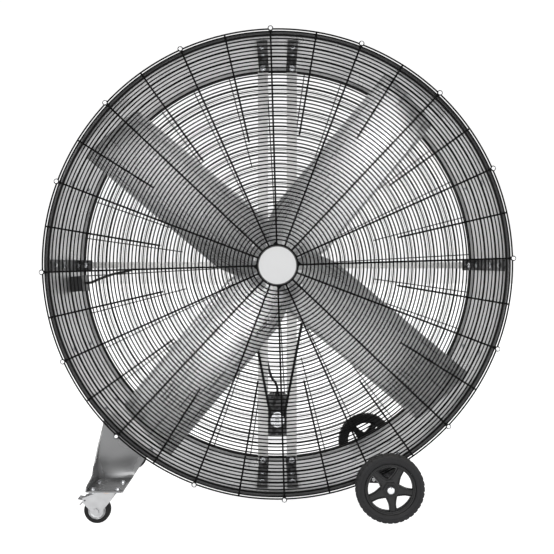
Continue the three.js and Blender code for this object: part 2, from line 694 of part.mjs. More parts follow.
// An end bell; its open shoulder lies at y = 0 and its nose towards +Y.
function motorBell(bore) {
  const profile = [
    [bore, 0],
    [MOTOR_RADIUS - 2, 0],
    [MOTOR_RADIUS - 2, MOTOR_BELL_LENGTH * 0.45],
    [MOTOR_RADIUS - 14, MOTOR_BELL_LENGTH * 0.85],
    [MOTOR_RADIUS - 30, MOTOR_BELL_LENGTH],
    [bore, MOTOR_BELL_LENGTH],
  ];
  return revolve(profile, 20);
}

const frontBell = () =>
  motorBell(MOTOR_SHAFT_RADIUS + RUNNING_GAP)
    .rotateZ(Math.PI)
    .translate(0, BELL_FRONT_Y + MOTOR_BELL_LENGTH, 0);
const rearBell = () => motorBell(0).translate(0, BELL_REAR_Y, 0);
const motorShaft = () => rod(MOTOR_SHAFT_RADIUS, PULLEY_Y - PULLEY_WIDTH / 2 - 3, BODY_Y - SEAT_GAP, 12);

// ---- Switch box, knob and cable ----

const BOX_Y = fromFront(BOX_SETBACK);

// The box against the wall at three o'clock, before it is turned to its clock angle.
function switchBox() {
  const low = [BOX_SEAT - BOX_WIDTH, BOX_Y, -BOX_HEIGHT / 2];
  const high = [BOX_SEAT, BOX_Y + BOX_LENGTH, BOX_HEIGHT / 2];
  return atClock(block(low, high), BOX_ANGLE);
}

function switchBoxCover() {
  const face = BOX_SEAT - BOX_WIDTH - SEAT_GAP;
  const low = [face - BOX_COVER, BOX_Y - BOX_LIP, -BOX_HEIGHT / 2 - BOX_LIP];
  const high = [face, BOX_Y + BOX_LENGTH + BOX_LIP, BOX_HEIGHT / 2 + BOX_LIP];
  return atClock(block(low, high), BOX_ANGLE);
}

// A fluted knob outside the drum, with its stem through the wall.
function speedKnob() {
  const shape = new THREE.Shape();
  const flutes = 12;
  for (let k = 0; k < flutes; k++)
    for (const [turn, r] of [[-9, KNOB_RADIUS], [9, KNOB_RADIUS], [15, KNOB_RADIUS - 2]]) {
      const a = rad((k * 360) / flutes + turn);
      if (k === 0 && turn === -9) shape.moveTo(r * Math.cos(a), r * Math.sin(a));
      else shape.lineTo(r * Math.cos(a), r * Math.sin(a));
    }
  const grip = alongX(shape, KNOB_SEAT, KNOB_HEIGHT);
  const stemLength = KNOB_SEAT + 1 - (BOX_SEAT + SEAT_GAP);
  const stem = new THREE.CylinderGeometry(KNOB_STEM_RADIUS, KNOB_STEM_RADIUS, stemLength, 12)
    .rotateZ(Math.PI / 2)
    .translate(KNOB_SEAT + 1 - stemLength / 2, 0, 0);
  return atClock(join(grip, stem).translate(0, fromFront(KNOB_SETBACK), 0), BOX_ANGLE);
}

// The motor cable: from the box up into the open back of the strut, out of it near the middle and
// down behind the left channel.
function motorCable() {
  const inStrut = STRUT_Y + STRUT_DEPTH - CABLE_TUCK;
  const behindStrut = STRUT_Y + STRUT_DEPTH + 3 * CABLE_RADIUS;
  const channelX = -CHANNEL_SPACING / 2;
  const behind = CHANNEL_BACK + 2 * SEAT_GAP + CABLE_RADIUS;
  const motorTop = GLAND_TOP + SEAT_GAP - MOTOR_DROP;
  const boxFace = BOX_SEAT - BOX_WIDTH - BOX_COVER - 2 * SEAT_GAP;
  const fromBox = (inward, back, up) => [
    (boxFace - inward) * Math.cos(rad(BOX_ANGLE)),
    BOX_Y + CABLE_EXIT + back,
    (boxFace - inward) * Math.sin(rad(BOX_ANGLE)) + up,
  ];
  const route = [
    fromBox(0, 0, 0),
    fromBox(14, 0, 0),
    fromBox(46, 20, 12),
    [-650, STRUT_Y + 6, -34],
    [-610, behindStrut - 14, -25],
    [-575, behindStrut, -13],
    [-530, behindStrut - 5, -2],
    [-480, inStrut + 4, 0],
    [-430, inStrut, 0],
    [-220, inStrut, 0],
    [-175, inStrut + 8, 0],
    [-140, behindStrut, -6],
    [-110, behindStrut, -24],
    [-80, inStrut, -44],
    [-62, STRUT_Y - 6, -58],
    [channelX, behind + 24, -90],
    [channelX, behind + 3, -150],
    [channelX, behind, -250],
    [channelX + 8, behind + 2, -330],
    [-34, behind + 10, -400],
    [-22, behind + 20, -440],
    [-6, GLAND_Y - 8, motorTop + 34],
    [0, GLAND_Y, motorTop + 12],
    [0, GLAND_Y, motorTop],
  ].map((p) => new THREE.Vector3(...p));
  const curve = new THREE.CatmullRomCurve3(route, false, "centripetal");
  const shape = new THREE.Shape();
  for (let k = 0; k < 8; k++) {
    const a = (k * Math.PI) / 4;
    if (k === 0) shape.moveTo(CABLE_RADIUS, 0);
    else shape.lineTo(CABLE_RADIUS * Math.cos(a), CABLE_RADIUS * Math.sin(a));
  }
  return new THREE.ExtrudeGeometry(shape, { extrudePath: curve, steps: 44, bevelEnabled: false });
}

// ---- Wheels on the right ----

function tyre() {
  const half = TYRE_WIDTH / 2;
  const crown = WHEEL_RADIUS / Math.cos(Math.PI / TYRE_SIDES); // its flats touch the floor
  const profile = [
    [TYRE_INNER_RADIUS, -half + 6],
    [TYRE_INNER_RADIUS + 6, -half + 1],
    [crown - 8, -half],
    [crown, -half + 8],
    [crown, half - 8],
    [crown - 8, half],
    [TYRE_INNER_RADIUS + 6, half - 1],
    [TYRE_INNER_RADIUS, half - 6],
  ];
  return revolve(profile, TYRE_SIDES).rotateY(Math.PI / TYRE_SIDES);
}

// One window between two spokes of the rim, as a path of corners.
function rimWindow(k) {
  const middle = RIM_FIRST_SPOKE + ((k + 0.5) * 360) / RIM_SPOKES;
  const half = RIM_SPOKE_WIDTH / 2;
  const corner = (r, side) => {
    const reach = 180 / RIM_SPOKES - THREE.MathUtils.radToDeg(Math.asin(half / r));
    const a = rad(middle + side * reach);
    return [r * Math.cos(a), r * Math.sin(a)];
  };
  const flat = (r, turn) => [r * Math.cos(rad(middle + turn)), r * Math.sin(rad(middle + turn))];
  const points = [
    corner(RIM_HUB_RADIUS + 4, -1),
    corner(RIM_WINDOW_RADIUS, -1),
    flat(RIM_WINDOW_RADIUS, -10),
    flat(RIM_WINDOW_RADIUS, 10),
    corner(RIM_WINDOW_RADIUS, 1),
    corner(RIM_HUB_RADIUS + 4, 1),
  ];
  return new THREE.Path(points.reverse().map(([x, y]) => new THREE.Vector2(x, y)));
}

// The moulded rim: a band under the tyre, a spoked disc and a barrel on the axle.
function rim() {
  const half = TYRE_WIDTH / 2 - 7;
  const outer = TYRE_INNER_RADIUS - SEAT_GAP;
  const band = [
    [RIM_WINDOW_RADIUS + 2, -half],
    [outer, -half],
    [outer, half],
    [RIM_WINDOW_RADIUS + 2, half],
  ];
  const disc = new THREE.Shape().absarc(0, 0, RIM_WINDOW_RADIUS + 5, 0, 2 * Math.PI, false);
  for (let k = 0; k < RIM_SPOKES; k++) disc.holes.push(rimWindow(k));
  const spoked = sheetXZ(disc, -half, RIM_DISC, 10);
  const barrel = rod(HUB_BARREL_RADIUS, -TYRE_WIDTH / 2, TYRE_WIDTH / 2, 12);
  const bore = rod(AXLE_RADIUS + RUNNING_GAP, -TYRE_WIDTH, TYRE_WIDTH, 12);
  const ringBand = revolve(band, TYRE_SIDES).rotateY(Math.PI / TYRE_SIDES);
  return cut(join(ringBand, spoked, barrel), bore);
}

const AXLE_END = WHEEL_Y + TYRE_WIDTH / 2 + AXLE_STUB;
const AXLE_SHOULDER = WHEEL_Y - TYRE_WIDTH / 2 - RUNNING_GAP;

// A tube through both lugs, stepped down inside the wheels.
const wheelAxle = () =>
  join(rod(AXLE_TUBE_RADIUS, -AXLE_SHOULDER, AXLE_SHOULDER, 12), rod(AXLE_RADIUS, -AXLE_END, AXLE_END, 12));

// A pressed cap on the end of the axle; its nose lies at y = 0 and its mouth towards +Y.
function axleCap() {
  const hollow = AXLE_RADIUS + SEAT_GAP;
  const length = AXLE_CAP_WALL + SEAT_GAP + AXLE_STUB - RUNNING_GAP;
  const profile = [
    [0, 0],
    [AXLE_CAP_RADIUS - 3, 0],
    [AXLE_CAP_RADIUS, 3],
    [AXLE_CAP_RADIUS, length],
    [hollow, length],
    [hollow, AXLE_CAP_WALL],
    [0, AXLE_CAP_WALL],
  ];
  return revolve(profile, 12);
}

// A curved plate on the outside of the drum between two clock angles.
function saddle([from, to]) {
  const inner = drumArc(DRUM_RADIUS + SEAT_GAP, from, to);
  const outer = drumArc(DRUM_RADIUS + SEAT_GAP + SADDLE_THICKNESS, from, to).reverse();
  return sheetXZ(outline([...inner, ...outer]), -DRUM_DEPTH / 2 + SADDLE_INSET, DRUM_DEPTH - 2 * SADDLE_INSET);
}

// ---- Legs and casters on the left ----

const LEG_RING = DRUM_RADIUS + 2 * SEAT_GAP + SADDLE_THICKNESS;
const SHELF_Z = CASTER_HEIGHT - AXIS_HEIGHT; // underside of the shelf, from the fan's axis
const SHELF_LEFT = -CASTER_REACH - CASTER_PLATE[0] / 2 - SHELF_MARGIN;
const SHELF_RIGHT = -CASTER_REACH + CASTER_PLATE[0] / 2 - SHELF_MARGIN;

// A pressed leg for the front or, mirrored, the rear: an upright web under the drum, a shelf
// bent out over the caster and a flange that widens down the outer edge.
function leg(side) {
  const arc = drumArc(LEG_RING, LEG_TOP_ANGLE, LEG_LOW_ANGLE);
  const [topX, topZ] = arc[0];
  const webFront = WEB_Y - LEG_SHEET;
  const shelfEnd = webFront + SHELF_LENGTH;
  const outerEdge = [
    [SHELF_LEFT, SHELF_Z],
    [SHELF_LEFT, SHELF_Z + LEG_TOE],
    [topX - LEG_SPREAD, topZ - LEG_KNEE],
    [topX, topZ - 2 * LEG_SHEET],
  ];
  const web = sheetXZ(outline([...arc, [SHELF_RIGHT, SHELF_Z], ...outerEdge.slice(0, 3)]), webFront, LEG_SHEET);
  const shelf = block([SHELF_LEFT, webFront, SHELF_Z], [SHELF_RIGHT, shelfEnd, SHELF_Z + LEG_SHEET]);
  const innerEdge = outerEdge.map(([x, z]) => [x + LEG_SHEET, z]).reverse();
  const strip = sheetXZ(outline([...outerEdge, ...innerEdge]), webFront, SHELF_LENGTH);
  const taper = outline([
    [webFront, SHELF_Z],
    [shelfEnd, SHELF_Z],
    [shelfEnd, SHELF_Z + LEG_TOE],
    [WEB_Y + LEG_FLANGE_BASE, SHELF_Z + 2 * LEG_TOE],
    [WEB_Y + LEG_FLANGE_TOP, topZ - LEG_KNEE / 2],
    [WEB_Y, topZ],
    [webFront, topZ],
  ]);
  const wedge = alongX(taper, SHELF_LEFT - 1, CASTER_REACH);
  const flange = toGeometry(toSolid(strip).intersect(toSolid(wedge)));
  const whole = join(web, shelf, flange);
  return side < 0 ? mirrored(whole) : whole;
}

// Mirrors a geometry across the plane y = 0 and turns its faces out again.
function mirrored(geometry) {
  const flipped = geometry.clone().scale(1, -1, 1);
  const index = flipped.index.array;
  for (let i = 0; i < index.length; i += 3) [index[i + 1], index[i + 2]] = [index[i + 2], index[i + 1]];
  return flipped;
}

// A lug from the axle saddle down to an eye round the axle.
function axleLug() {
  const shape = new THREE.Shape();
  const eye = new THREE.Vector2(WHEEL_X, WHEEL_RADIUS - AXIS_HEIGHT);
  const arc = drumArc(LEG_RING, AXLE_SADDLE_ANGLES[0] + 1, AXLE_SADDLE_ANGLES[1] - 1);
  arc.forEach(([x, z], i) => (i ? shape.lineTo(x, z) : shape.moveTo(x, z)));
  const start = rad(-AXLE_ANGLE + 80);
  shape.absarc(eye.x, eye.y, LUG_EYE_RADIUS, start, start - rad(160), true);
  const whole = new THREE.Shape(shape.getPoints(6).reverse());
  const bore = new THREE.Path();
  bore.absarc(eye.x, eye.y, AXLE_TUBE_RADIUS / Math.cos(Math.PI / 12) + SEAT_GAP, 0, 2 * Math.PI, true);
  whole.holes.push(bore);
  return sheetXZ(whole, 0, LUG_THICKNESS, 6);
}

const PLATE_TOP = CASTER_HEIGHT - SEAT_GAP;
const RACE_BOTTOM = PLATE_TOP - CASTER_PLATE[2] - CASTER_RACE_HEIGHT;

// The fixed top plate of a caster with the upper half of its ball race.
function casterPlate() {
  const [x, y, z] = CASTER_PLATE;
  const plate = block([-x / 2, -y / 2, PLATE_TOP - z], [x / 2, y / 2, PLATE_TOP]);
  const race = new THREE.CylinderGeometry(CASTER_RACE_RADIUS + 3, CASTER_RACE_RADIUS, CASTER_RACE_HEIGHT + 1, 20)
    .rotateX(Math.PI / 2)
    .translate(0, 0, RACE_BOTTOM + (CASTER_RACE_HEIGHT + 1) / 2);
  return join(plate, race);
}

// The swivelling fork: a crown plate under the race and two tapering cheeks.
function casterFork() {
  const cheekY = CASTER_WIDTH / 2 + FORK_GAP;
  const top = RACE_BOTTOM - SEAT_GAP;
  const crown = block(
    [-FORK_CROWN / 2 - 6, -cheekY - FORK_SHEET, top - 4],
    [FORK_CROWN / 2 - 6, cheekY + FORK_SHEET, top],
  );
  const cheek = outline([
    [-FORK_CROWN / 2 - 6, top],
    [PEDAL_PIVOT[0] - CASTER_TRAIL - 8, CASTER_RADIUS + PEDAL_PIVOT[1] + 7],
    [PEDAL_PIVOT[0] - CASTER_TRAIL - 8, CASTER_RADIUS + PEDAL_PIVOT[1] - 7],
    [-CASTER_TRAIL - 15, CASTER_RADIUS - 4],
    [-CASTER_TRAIL - 8, CASTER_RADIUS - 12],
    [-CASTER_TRAIL + 8, CASTER_RADIUS - 12],
    [-CASTER_TRAIL + 15, CASTER_RADIUS - 4],
    [FORK_CROWN / 2 - 6, top - 14],
    [FORK_CROWN / 2 - 6, top],
  ]);
  const holes = [
    rod(CASTER_BOLT_RADIUS + SEAT_GAP, -CUTTER_REACH, CUTTER_REACH, 12).translate(-CASTER_TRAIL, 0, CASTER_RADIUS),
    rod(PEDAL_BARREL - 1 + SEAT_GAP, -CUTTER_REACH, CUTTER_REACH, 8).translate(...pedalPivot()),
  ];
  return cut(
    join(crown, sheetXZ(cheek, cheekY, FORK_SHEET), sheetXZ(cheek, -cheekY - FORK_SHEET, FORK_SHEET)),
    ...holes,
  );
}

const pedalPivot = () => [PEDAL_PIVOT[0] - CASTER_TRAIL, 0, CASTER_RADIUS + PEDAL_PIVOT[1]];

// Rolls about Y through the wheel's own centre.
function casterTyre() {
  const half = CASTER_WIDTH / 2;
  const crown = CASTER_RADIUS / Math.cos(Math.PI / CASTER_SIDES);
  const profile = [
    [CASTER_HUB_RADIUS, -half],
    [crown - 5, -half],
    [crown, -half + 5],
    [crown, half - 5],
    [crown - 5, half],
    [CASTER_HUB_RADIUS, half],
  ];
  return revolve(profile, CASTER_SIDES).rotateY(Math.PI / CASTER_SIDES);
}

function casterHub() {
  const half = CASTER_WIDTH / 2;
  const bore = CASTER_BOLT_RADIUS + RUNNING_GAP;
  const profile = [
    [bore, -half - 1],
    [13, -half - 1],
    [CASTER_HUB_RADIUS - SEAT_GAP, -half + 5],
    [CASTER_HUB_RADIUS - SEAT_GAP, half - 5],
    [13, half + 1],
    [bore, half + 1],
  ];
  return revolve(profile, CASTER_SIDES).rotateY(Math.PI / CASTER_SIDES);
}

function casterBolt() {
  const reach = CASTER_WIDTH / 2 + FORK_GAP + FORK_SHEET;
  const bolt = rod(CASTER_BOLT_RADIUS, -reach - 4, reach + 4, 12);
  const head = rod(10, reach + SEAT_GAP, reach + 6, 6);
  const nut = rod(10, -reach - 6, -reach - SEAT_GAP, 6);
  return join(bolt, head, nut);
}

// The brake pedal: a barrel between the cheeks, two foot tabs outwards and a shoe inwards.
function brakePedal() {
  const reach = CASTER_WIDTH / 2 + FORK_GAP - 0.6;
  const barrel = rod(PEDAL_BARREL, -reach, reach, 12);
  const pin = rod(PEDAL_BARREL - 1, -reach - FORK_SHEET, reach + FORK_SHEET, 8);
  const upper = block([-PEDAL_REACH, -reach, -PEDAL_SHEET / 2], [0, reach, PEDAL_SHEET / 2]).rotateY(rad(10));
  const lower = block([-PEDAL_REACH, -reach, -PEDAL_SHEET / 2], [0, reach, PEDAL_SHEET / 2]).rotateY(rad(-42));
  const shoe = block([0, -reach + 3, -PEDAL_SHEET / 2], [PEDAL_SHOE, reach - 3, PEDAL_SHEET / 2]);
  shoe.rotateY(rad(114.5));
  return join(barrel, pin, upper, lower, shoe);
}

// ---- Assembly ----

const fan = new THREE.Group();

function add(parent, name, geometry, material, position = [0, 0, 0]) {
  const mesh = new THREE.Mesh(geometry, material);
  mesh.name = name;
  mesh.position.set(...position);
  parent.add(mesh);
  return mesh;
}

function groupAt(parent, x, y, z) {
  const group = new THREE.Group();
  group.position.set(x, y, z);
  parent.add(group);
  return group;
}

const axis = groupAt(fan, 0, 0, AXIS_HEIGHT);
add(axis, "drum", drumShell(), charcoal);
add(axis, "front_guard", frontGuard(), blackPaint, [0, -GUARD_Y, 0]);
add(axis, "rear_guard", rearGuard(), blackPaint, [0, GUARD_Y, 0]);
const badgeY = -GUARD_Y - domeHeight(SPOKE_INNER_RADIUS) - SPOKE_WIRE / 2 - WELD_RAISE;
add(axis, "guard_badge", badge(), badgeWhite, [0, badgeY - SEAT_GAP, 0]);

for (const [name, x] of [["left", -1], ["right", 1]]) {
  add(axis, name + "_mount_channel", mountChannel(), charcoal, [(x * CHANNEL_SPACING) / 2, CHANNEL_Y, 0]);
  add(axis, name + "_strut_foot", atClock(strutFoot(), x > 0 ? 0 : 180), charcoal);
}
add(axis, "upper_left_channel_foot", atClock(channelFoot(), 90 + CHANNEL_TURN), charcoal);
add(axis, "upper_right_channel_foot", atClock(channelFoot(), 90 - CHANNEL_TURN), charcoal);
add(axis, "lower_left_channel_foot", atClock(channelFoot(), 270 - CHANNEL_TURN), charcoal);
add(axis, "lower_right_channel_foot", atClock(channelFoot(), 270 + CHANNEL_TURN), charcoal);
add(axis, "cross_strut", crossStrut(), charcoal);
add(axis, "bearing_plate", bearingPlate(), charcoal);
add(axis, "front_bearing", bearing(), castIron, [0, CHANNEL_Y, 0]);
add(axis, "rear_bearing", bearing().rotateZ(Math.PI), castIron, [0, REAR_BEARING_Y + BEARING_LENGTH, 0]);

add(axis, "fan_shaft", fanShaft(), greySteel);
add(axis, "hub_spider", hubSpider(), castIron, [0, BLADE_Y, 0]);
for (let k = 0; k < BLADE_COUNT; k++) {
  const turned = atClock(blade(), BLADE_FIRST_ANGLE + (k * 360) / BLADE_COUNT);
  add(axis, "blade_" + (k + 1), turned, greySteel, [0, BLADE_Y, 0]);
}
add(axis, "fan_pulley", fanPulley(), castIron, [0, PULLEY_Y, 0]);
add(axis, "drive_belt", driveBelt(), rubber, [0, PULLEY_Y, 0]);

const motor = groupAt(axis, 0, 0, -MOTOR_DROP);
add(motor, "motor_mount_plate", motorMountPlate(), charcoal);
add(motor, "motor_front_bell", frontBell(), castIron);
add(motor, "motor_body", motorBody(), blackPaint);
add(motor, "motor_rear_bell", rearBell(), castIron);
add(motor, "motor_shaft", motorShaft(), greySteel);
add(motor, "motor_pulley", motorPulley(), zinc, [0, PULLEY_Y, 0]);

add(axis, "switch_box", switchBox(), plastic);
add(axis, "switch_box_cover", switchBoxCover(), plastic);
add(axis, "speed_knob", speedKnob(), plastic);
add(axis, "motor_cable", motorCable(), rubber);

add(axis, "leg_saddle", saddle(LEG_SADDLE_ANGLES), charcoal);
add(axis, "axle_saddle", saddle(AXLE_SADDLE_ANGLES), charcoal);
add(axis, "front_leg", leg(-1), legSteel);
add(axis, "rear_leg", leg(1), legSteel);
const lugY = DRUM_DEPTH / 2 - SADDLE_INSET - LUG_THICKNESS - 4;
add(axis, "front_axle_lug", axleLug(), charcoal, [0, -lugY - LUG_THICKNESS, 0]);
add(axis, "rear_axle_lug", axleLug(), charcoal, [0, lugY, 0]);

const axle = groupAt(fan, WHEEL_X, 0, WHEEL_RADIUS);
add(axle, "wheel_axle", wheelAxle(), zinc);
for (const [name, side] of [["front", -1], ["rear", 1]]) {
  const turn = side < 0 ? 0 : Math.PI;
  add(axle, name + "_tyre", tyre(), tyreRubber, [0, side * WHEEL_Y, 0]);
  add(axle, name + "_rim", rim().rotateZ(turn), plastic, [0, side * WHEEL_Y, 0]);
  const capNose = AXLE_END + SEAT_GAP + AXLE_CAP_WALL;
  add(axle, name + "_axle_cap", axleCap().rotateZ(turn), zinc, [0, side * capNose, 0]);

  const caster = groupAt(fan, -CASTER_REACH, side * CASTER_Y, 0);
  add(caster, name + "_caster_plate", casterPlate(), zinc);
  add(caster, name + "_caster_fork", casterFork(), zinc);
  const centre = [-CASTER_TRAIL, 0, CASTER_RADIUS];
  add(caster, name + "_caster_bolt", casterBolt(), zinc, centre);
  add(caster, name + "_caster_tyre", casterTyre(), rubber, centre);
  add(caster, name + "_caster_hub", casterHub(), zinc, centre);
  add(caster, name + "_brake_pedal", brakePedal(), blackPaint, pedalPivot());
}

export default fan;
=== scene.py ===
# The drum fan's visual model, in metres, on the frame of its solid model.
import bmesh
import bpy
import math
import mathutils
import numpy as np
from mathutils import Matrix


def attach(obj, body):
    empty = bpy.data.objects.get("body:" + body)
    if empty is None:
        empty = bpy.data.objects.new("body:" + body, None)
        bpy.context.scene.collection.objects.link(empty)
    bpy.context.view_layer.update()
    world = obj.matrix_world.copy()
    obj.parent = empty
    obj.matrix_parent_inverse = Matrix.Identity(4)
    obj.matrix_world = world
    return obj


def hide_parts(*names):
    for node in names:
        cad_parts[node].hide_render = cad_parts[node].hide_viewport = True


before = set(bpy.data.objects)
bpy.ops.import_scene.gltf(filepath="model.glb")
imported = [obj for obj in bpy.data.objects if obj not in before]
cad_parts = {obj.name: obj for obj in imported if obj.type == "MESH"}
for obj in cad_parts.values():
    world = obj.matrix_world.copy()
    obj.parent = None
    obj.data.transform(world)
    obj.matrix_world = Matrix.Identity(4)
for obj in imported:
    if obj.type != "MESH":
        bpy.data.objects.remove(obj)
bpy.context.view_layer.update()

# ---- Sizes shared with the solid model, in millimetres ----
MM = 0.001
AXIS_Z = 861.14  # height of the fan's axis
DRUM_R = 797.0
HALF = 244.02  # half the drum's depth
HOOP_R = 810.0
GUARD_Y = 245.4  # plane of each hoop
RING_PITCH = 12.7
RING_COUNT = 57
DOME = 56.0  # height of a guard's middle over its hoop
DOME_R = 52.0
WHEEL_X, WHEEL_Y, WHEEL_R = 375.83, 319.01, 115.5
CASTER_X, CASTER_Y, TRAIL, CASTER_R = -566.0, 317.01, 36.0, 44.0
MOTOR_Z = AXIS_Z - 585.0
PULLEY_Y = -9.19
BLADE_Y = -94.65
PITCH = math.radians(28.0)
LEAD = 26.0  # a blade is set off its radius in its own plane
FIRST_BLADE = 50.0


def clock(radius, angle, y=0.0):
    """Point on the fan at a radius and a clock angle in degrees: (r cos a, y, z0 + r sin a)."""
    a = math.radians(angle)
    return np.array([radius * math.cos(a), y, AXIS_Z + radius * math.sin(a)])


def inward(angle):
    """Unit vector from the drum's wall towards its axis: (-cos a, 0, -sin a)."""
    a = math.radians(angle)
    return np.array([-math.cos(a), 0.0, -math.sin(a)])


# ---- Surfaces ----

def grid_faces(rows, cols, wrap_rows=False, wrap_cols=False, keep=None):
    """Quads between the points i * cols + j of a grid, closed on itself where a direction wraps."""
    i = np.arange(rows if wrap_rows else rows - 1)[:, None]
    j = np.arange(cols if wrap_cols else cols - 1)[None, :]
    ni, nj = (i + 1) % rows, (j + 1) % cols
    quads = np.stack([i * cols + j, i * cols + nj, ni * cols + nj, ni * cols + j], -1)
    quads = quads.reshape(-1, 4)
    return quads if keep is None else quads[np.asarray(keep).ravel()]


def basis(axis):
    """Two unit vectors square to an axis and to each other."""
    n = np.asarray(axis, float)
    n = n / np.linalg.norm(n)
    helper = np.array([0.0, 0.0, 1.0]) if abs(n[2]) < 0.9 else np.array([1.0, 0.0, 0.0])
    u = np.cross(helper, n)
    u /= np.linalg.norm(u)
    return n, u, np.cross(n, u)


class Surface:
    """Points and faces gathered from grids, in millimetres, that become one Blender piece."""

    def __init__(self):
        self.points, self.faces, self.uvs, self.count = [], [], [], 0

    def add(self, points, *faces, uv=None):
        points = np.asarray(points, float).reshape(-1, 3)
        for f in faces:
            self.faces.append(np.asarray(f, int) + self.count)
        self.points.append(points)
        uv = np.zeros((len(points), 2)) if uv is None else np.asarray(uv, float)
        self.uvs.append(uv.reshape(-1, 2))
        self.count += len(points)

    def turned(self, profile, origin, axis, sides=64, start=0.0, closed=False, ripple=None):
        """Surface of revolution: P(t, k) = origin + axis h_k + r_k (u cos t + v sin t).

        The profile is a list of (r, h). ripple(t, k) adds to the radius."""
        n, u, v = basis(axis)
        profile = np.asarray(profile, float)
        t = start + np.arange(sides) * 2 * math.pi / sides
        r = np.broadcast_to(profile[None, :, 0], (sides, len(profile))).copy()
        if ripple is not None:
            r += ripple(t[:, None], np.arange(len(profile))[None, :])
        ring = np.cos(t)[:, None] * u + np.sin(t)[:, None] * v
        points = np.asarray(origin, float) + n * profile[None, :, 1, None]
        points = points + r[..., None] * ring[:, None, :]
        length = np.concatenate([[0], np.cumsum(np.linalg.norm(np.diff(profile, axis=0), axis=1))])
        uv = np.stack(np.broadcast_arrays(t[:, None] * profile[:, 0].max(), length[None, :]), -1)
        self.add(points, grid_faces(sides, len(profile), True, closed), uv=uv * MM)

    def tube(self, path, radius, sides=12, closed=False, caps=True):
        """Tube round a path: P(i, j) = path_i + radius (a_i cos j + b_i sin j), its frame carried along."""
        path = np.asarray(path, float)
        nxt, prv = np.roll(path, -1, 0), np.roll(path, 1, 0)
        tangent = nxt - prv
        if not closed:
            tangent[0], tangent[-1] = path[1] - path[0], path[-1] - path[-2]
        tangent /= np.linalg.norm(tangent, axis=1)[:, None]
        _, a, _ = basis(tangent[0])
        frames = []
        for t in tangent:
            a = a - t * np.dot(a, t)
            a /= np.linalg.norm(a)
            frames.append((a, np.cross(t, a)))
        fa, fb = np.array([f[0] for f in frames]), np.array([f[1] for f in frames])
        j = np.arange(sides) * 2 * math.pi / sides
        radii = np.broadcast_to(np.asarray(radius, float), (len(path),))
        points = path[:, None, :] + radii[:, None, None] * (
            fa[:, None, :] * np.cos(j)[None, :, None] + fb[:, None, :] * np.sin(j)[None, :, None])
        faces = [grid_faces(len(path), sides, closed, True)]
        if caps and not closed:
            faces.append(np.arange(sides)[None, :])
            faces.append((len(path) - 1) * sides + np.arange(sides)[None, ::-1])
        self.add(points, *faces)

    def ring(self, radius, y, wire, segments=160, sides=6):
        """Torus about the fan's axis: r = R + w cos s, y = y0 + w sin s."""
        s = np.arange(sides) * 2 * math.pi / sides
        profile = np.stack([radius + wire * np.cos(s), y + wire * np.sin(s)], -1)
        self.turned(profile, (0, 0, AXIS_Z), (0, 1, 0), segments, closed=True)

    def solid(self, outline, origin, across, up, depth, edge=0.6):
        """Plate with a softened edge: the outline at four depths, drawn in by edge at the first and last."""
        outline = np.asarray(outline, float)
        across, up = np.asarray(across, float), np.asarray(up, float)
        normal = np.cross(across, up)
        middle = outline.mean(0)
        span = np.abs(outline - middle).max()
        rows = []
        for inset, d in ((edge, 0.0), (0.0, edge), (0.0, depth - edge), (edge, depth)):
            o = middle + (outline - middle) * (1 - inset / span)
            rows.append(np.asarray(origin, float) + o[:, :1] * across + o[:, 1:] * up + normal * d)
        n = len(outline)
        self.add(np.stack(rows), grid_faces(4, n, False, True),
                 np.arange(n)[None, ::-1], 3 * n + np.arange(n)[None, :])

    def bolt(self, base, normal, size=6.5, height=5.0, washer=10.0, turn=0.3):
        """Hexagon head on a washer, both turned about the normal."""
        if washer:
            self.turned([(0, 1.6), (washer - 0.4, 1.6), (washer, 1.2), (washer, 0), (0, 0)], base, normal, 20)
        h = 1.6 if washer else 0.0
        head = [(0, h + height), (size * 0.82, h + height), (size, h + height - 0.9), (size, h), (0, h)]
        self.turned(head, base, normal, 6, start=turn)

    def dome(self, base, normal, size=8.0, height=4.0):
        """Round head: r = R cos s, h = H sin s."""
        s = np.linspace(math.pi / 2, 0, 7)
        profile = [(size * math.cos(a), height * math.sin(a)) for a in s] + [(size, -0.5)]
        self.turned(profile, base, normal, 18)

    def piece(self, name, material, slot, body="root", replaces=(), angle=40.0, bevel=0.0):
        mesh = bpy.data.meshes.new(name)
        points = np.concatenate(self.points) * MM
        sizes = np.concatenate([np.full(len(f), f.shape[1]) for f in self.faces])
        loops = np.concatenate([f.ravel() for f in self.faces])
        mesh.vertices.add(len(points))
        mesh.vertices.foreach_set("co", points.ravel())
        mesh.loops.add(len(loops))
        mesh.loops.foreach_set("vertex_index", loops)
        mesh.polygons.add(len(sizes))
        mesh.polygons.foreach_set("loop_start", np.concatenate([[0], np.cumsum(sizes)[:-1]]))
        mesh.update(calc_edges=True)
        layer = mesh.uv_layers.new(name="Metres")
        layer.data.foreach_set("uv", np.concatenate(self.uvs)[loops].ravel())
        mesh.validate()
        form = bmesh.new()
        form.from_mesh(mesh)
        bmesh.ops.remove_doubles(form, verts=form.verts, dist=1e-6)
        bmesh.ops.recalc_face_normals(form, faces=form.faces)
        form.to_mesh(mesh)
        form.free()
        mesh.shade_smooth()
        mesh.set_sharp_from_angle(angle=math.radians(angle))
        mesh.materials.append(material)
        obj = bpy.data.objects.new(name, mesh)
        bpy.context.scene.collection.objects.link(obj)
        if bevel:
            soften(obj, bevel)
        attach(obj, body)
        if replaces:
            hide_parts(*replaces)
        return obj


def soften(obj, width):
    """Rounds the sharp edges of a piece without touching its mesh."""
    mod = obj.modifiers.new("Edges", "BEVEL")
    mod.width = width * MM
    mod.segments = 2
    mod.limit_method = "ANGLE"
    mod.angle_limit = math.radians(40)


# ---- Materials ----

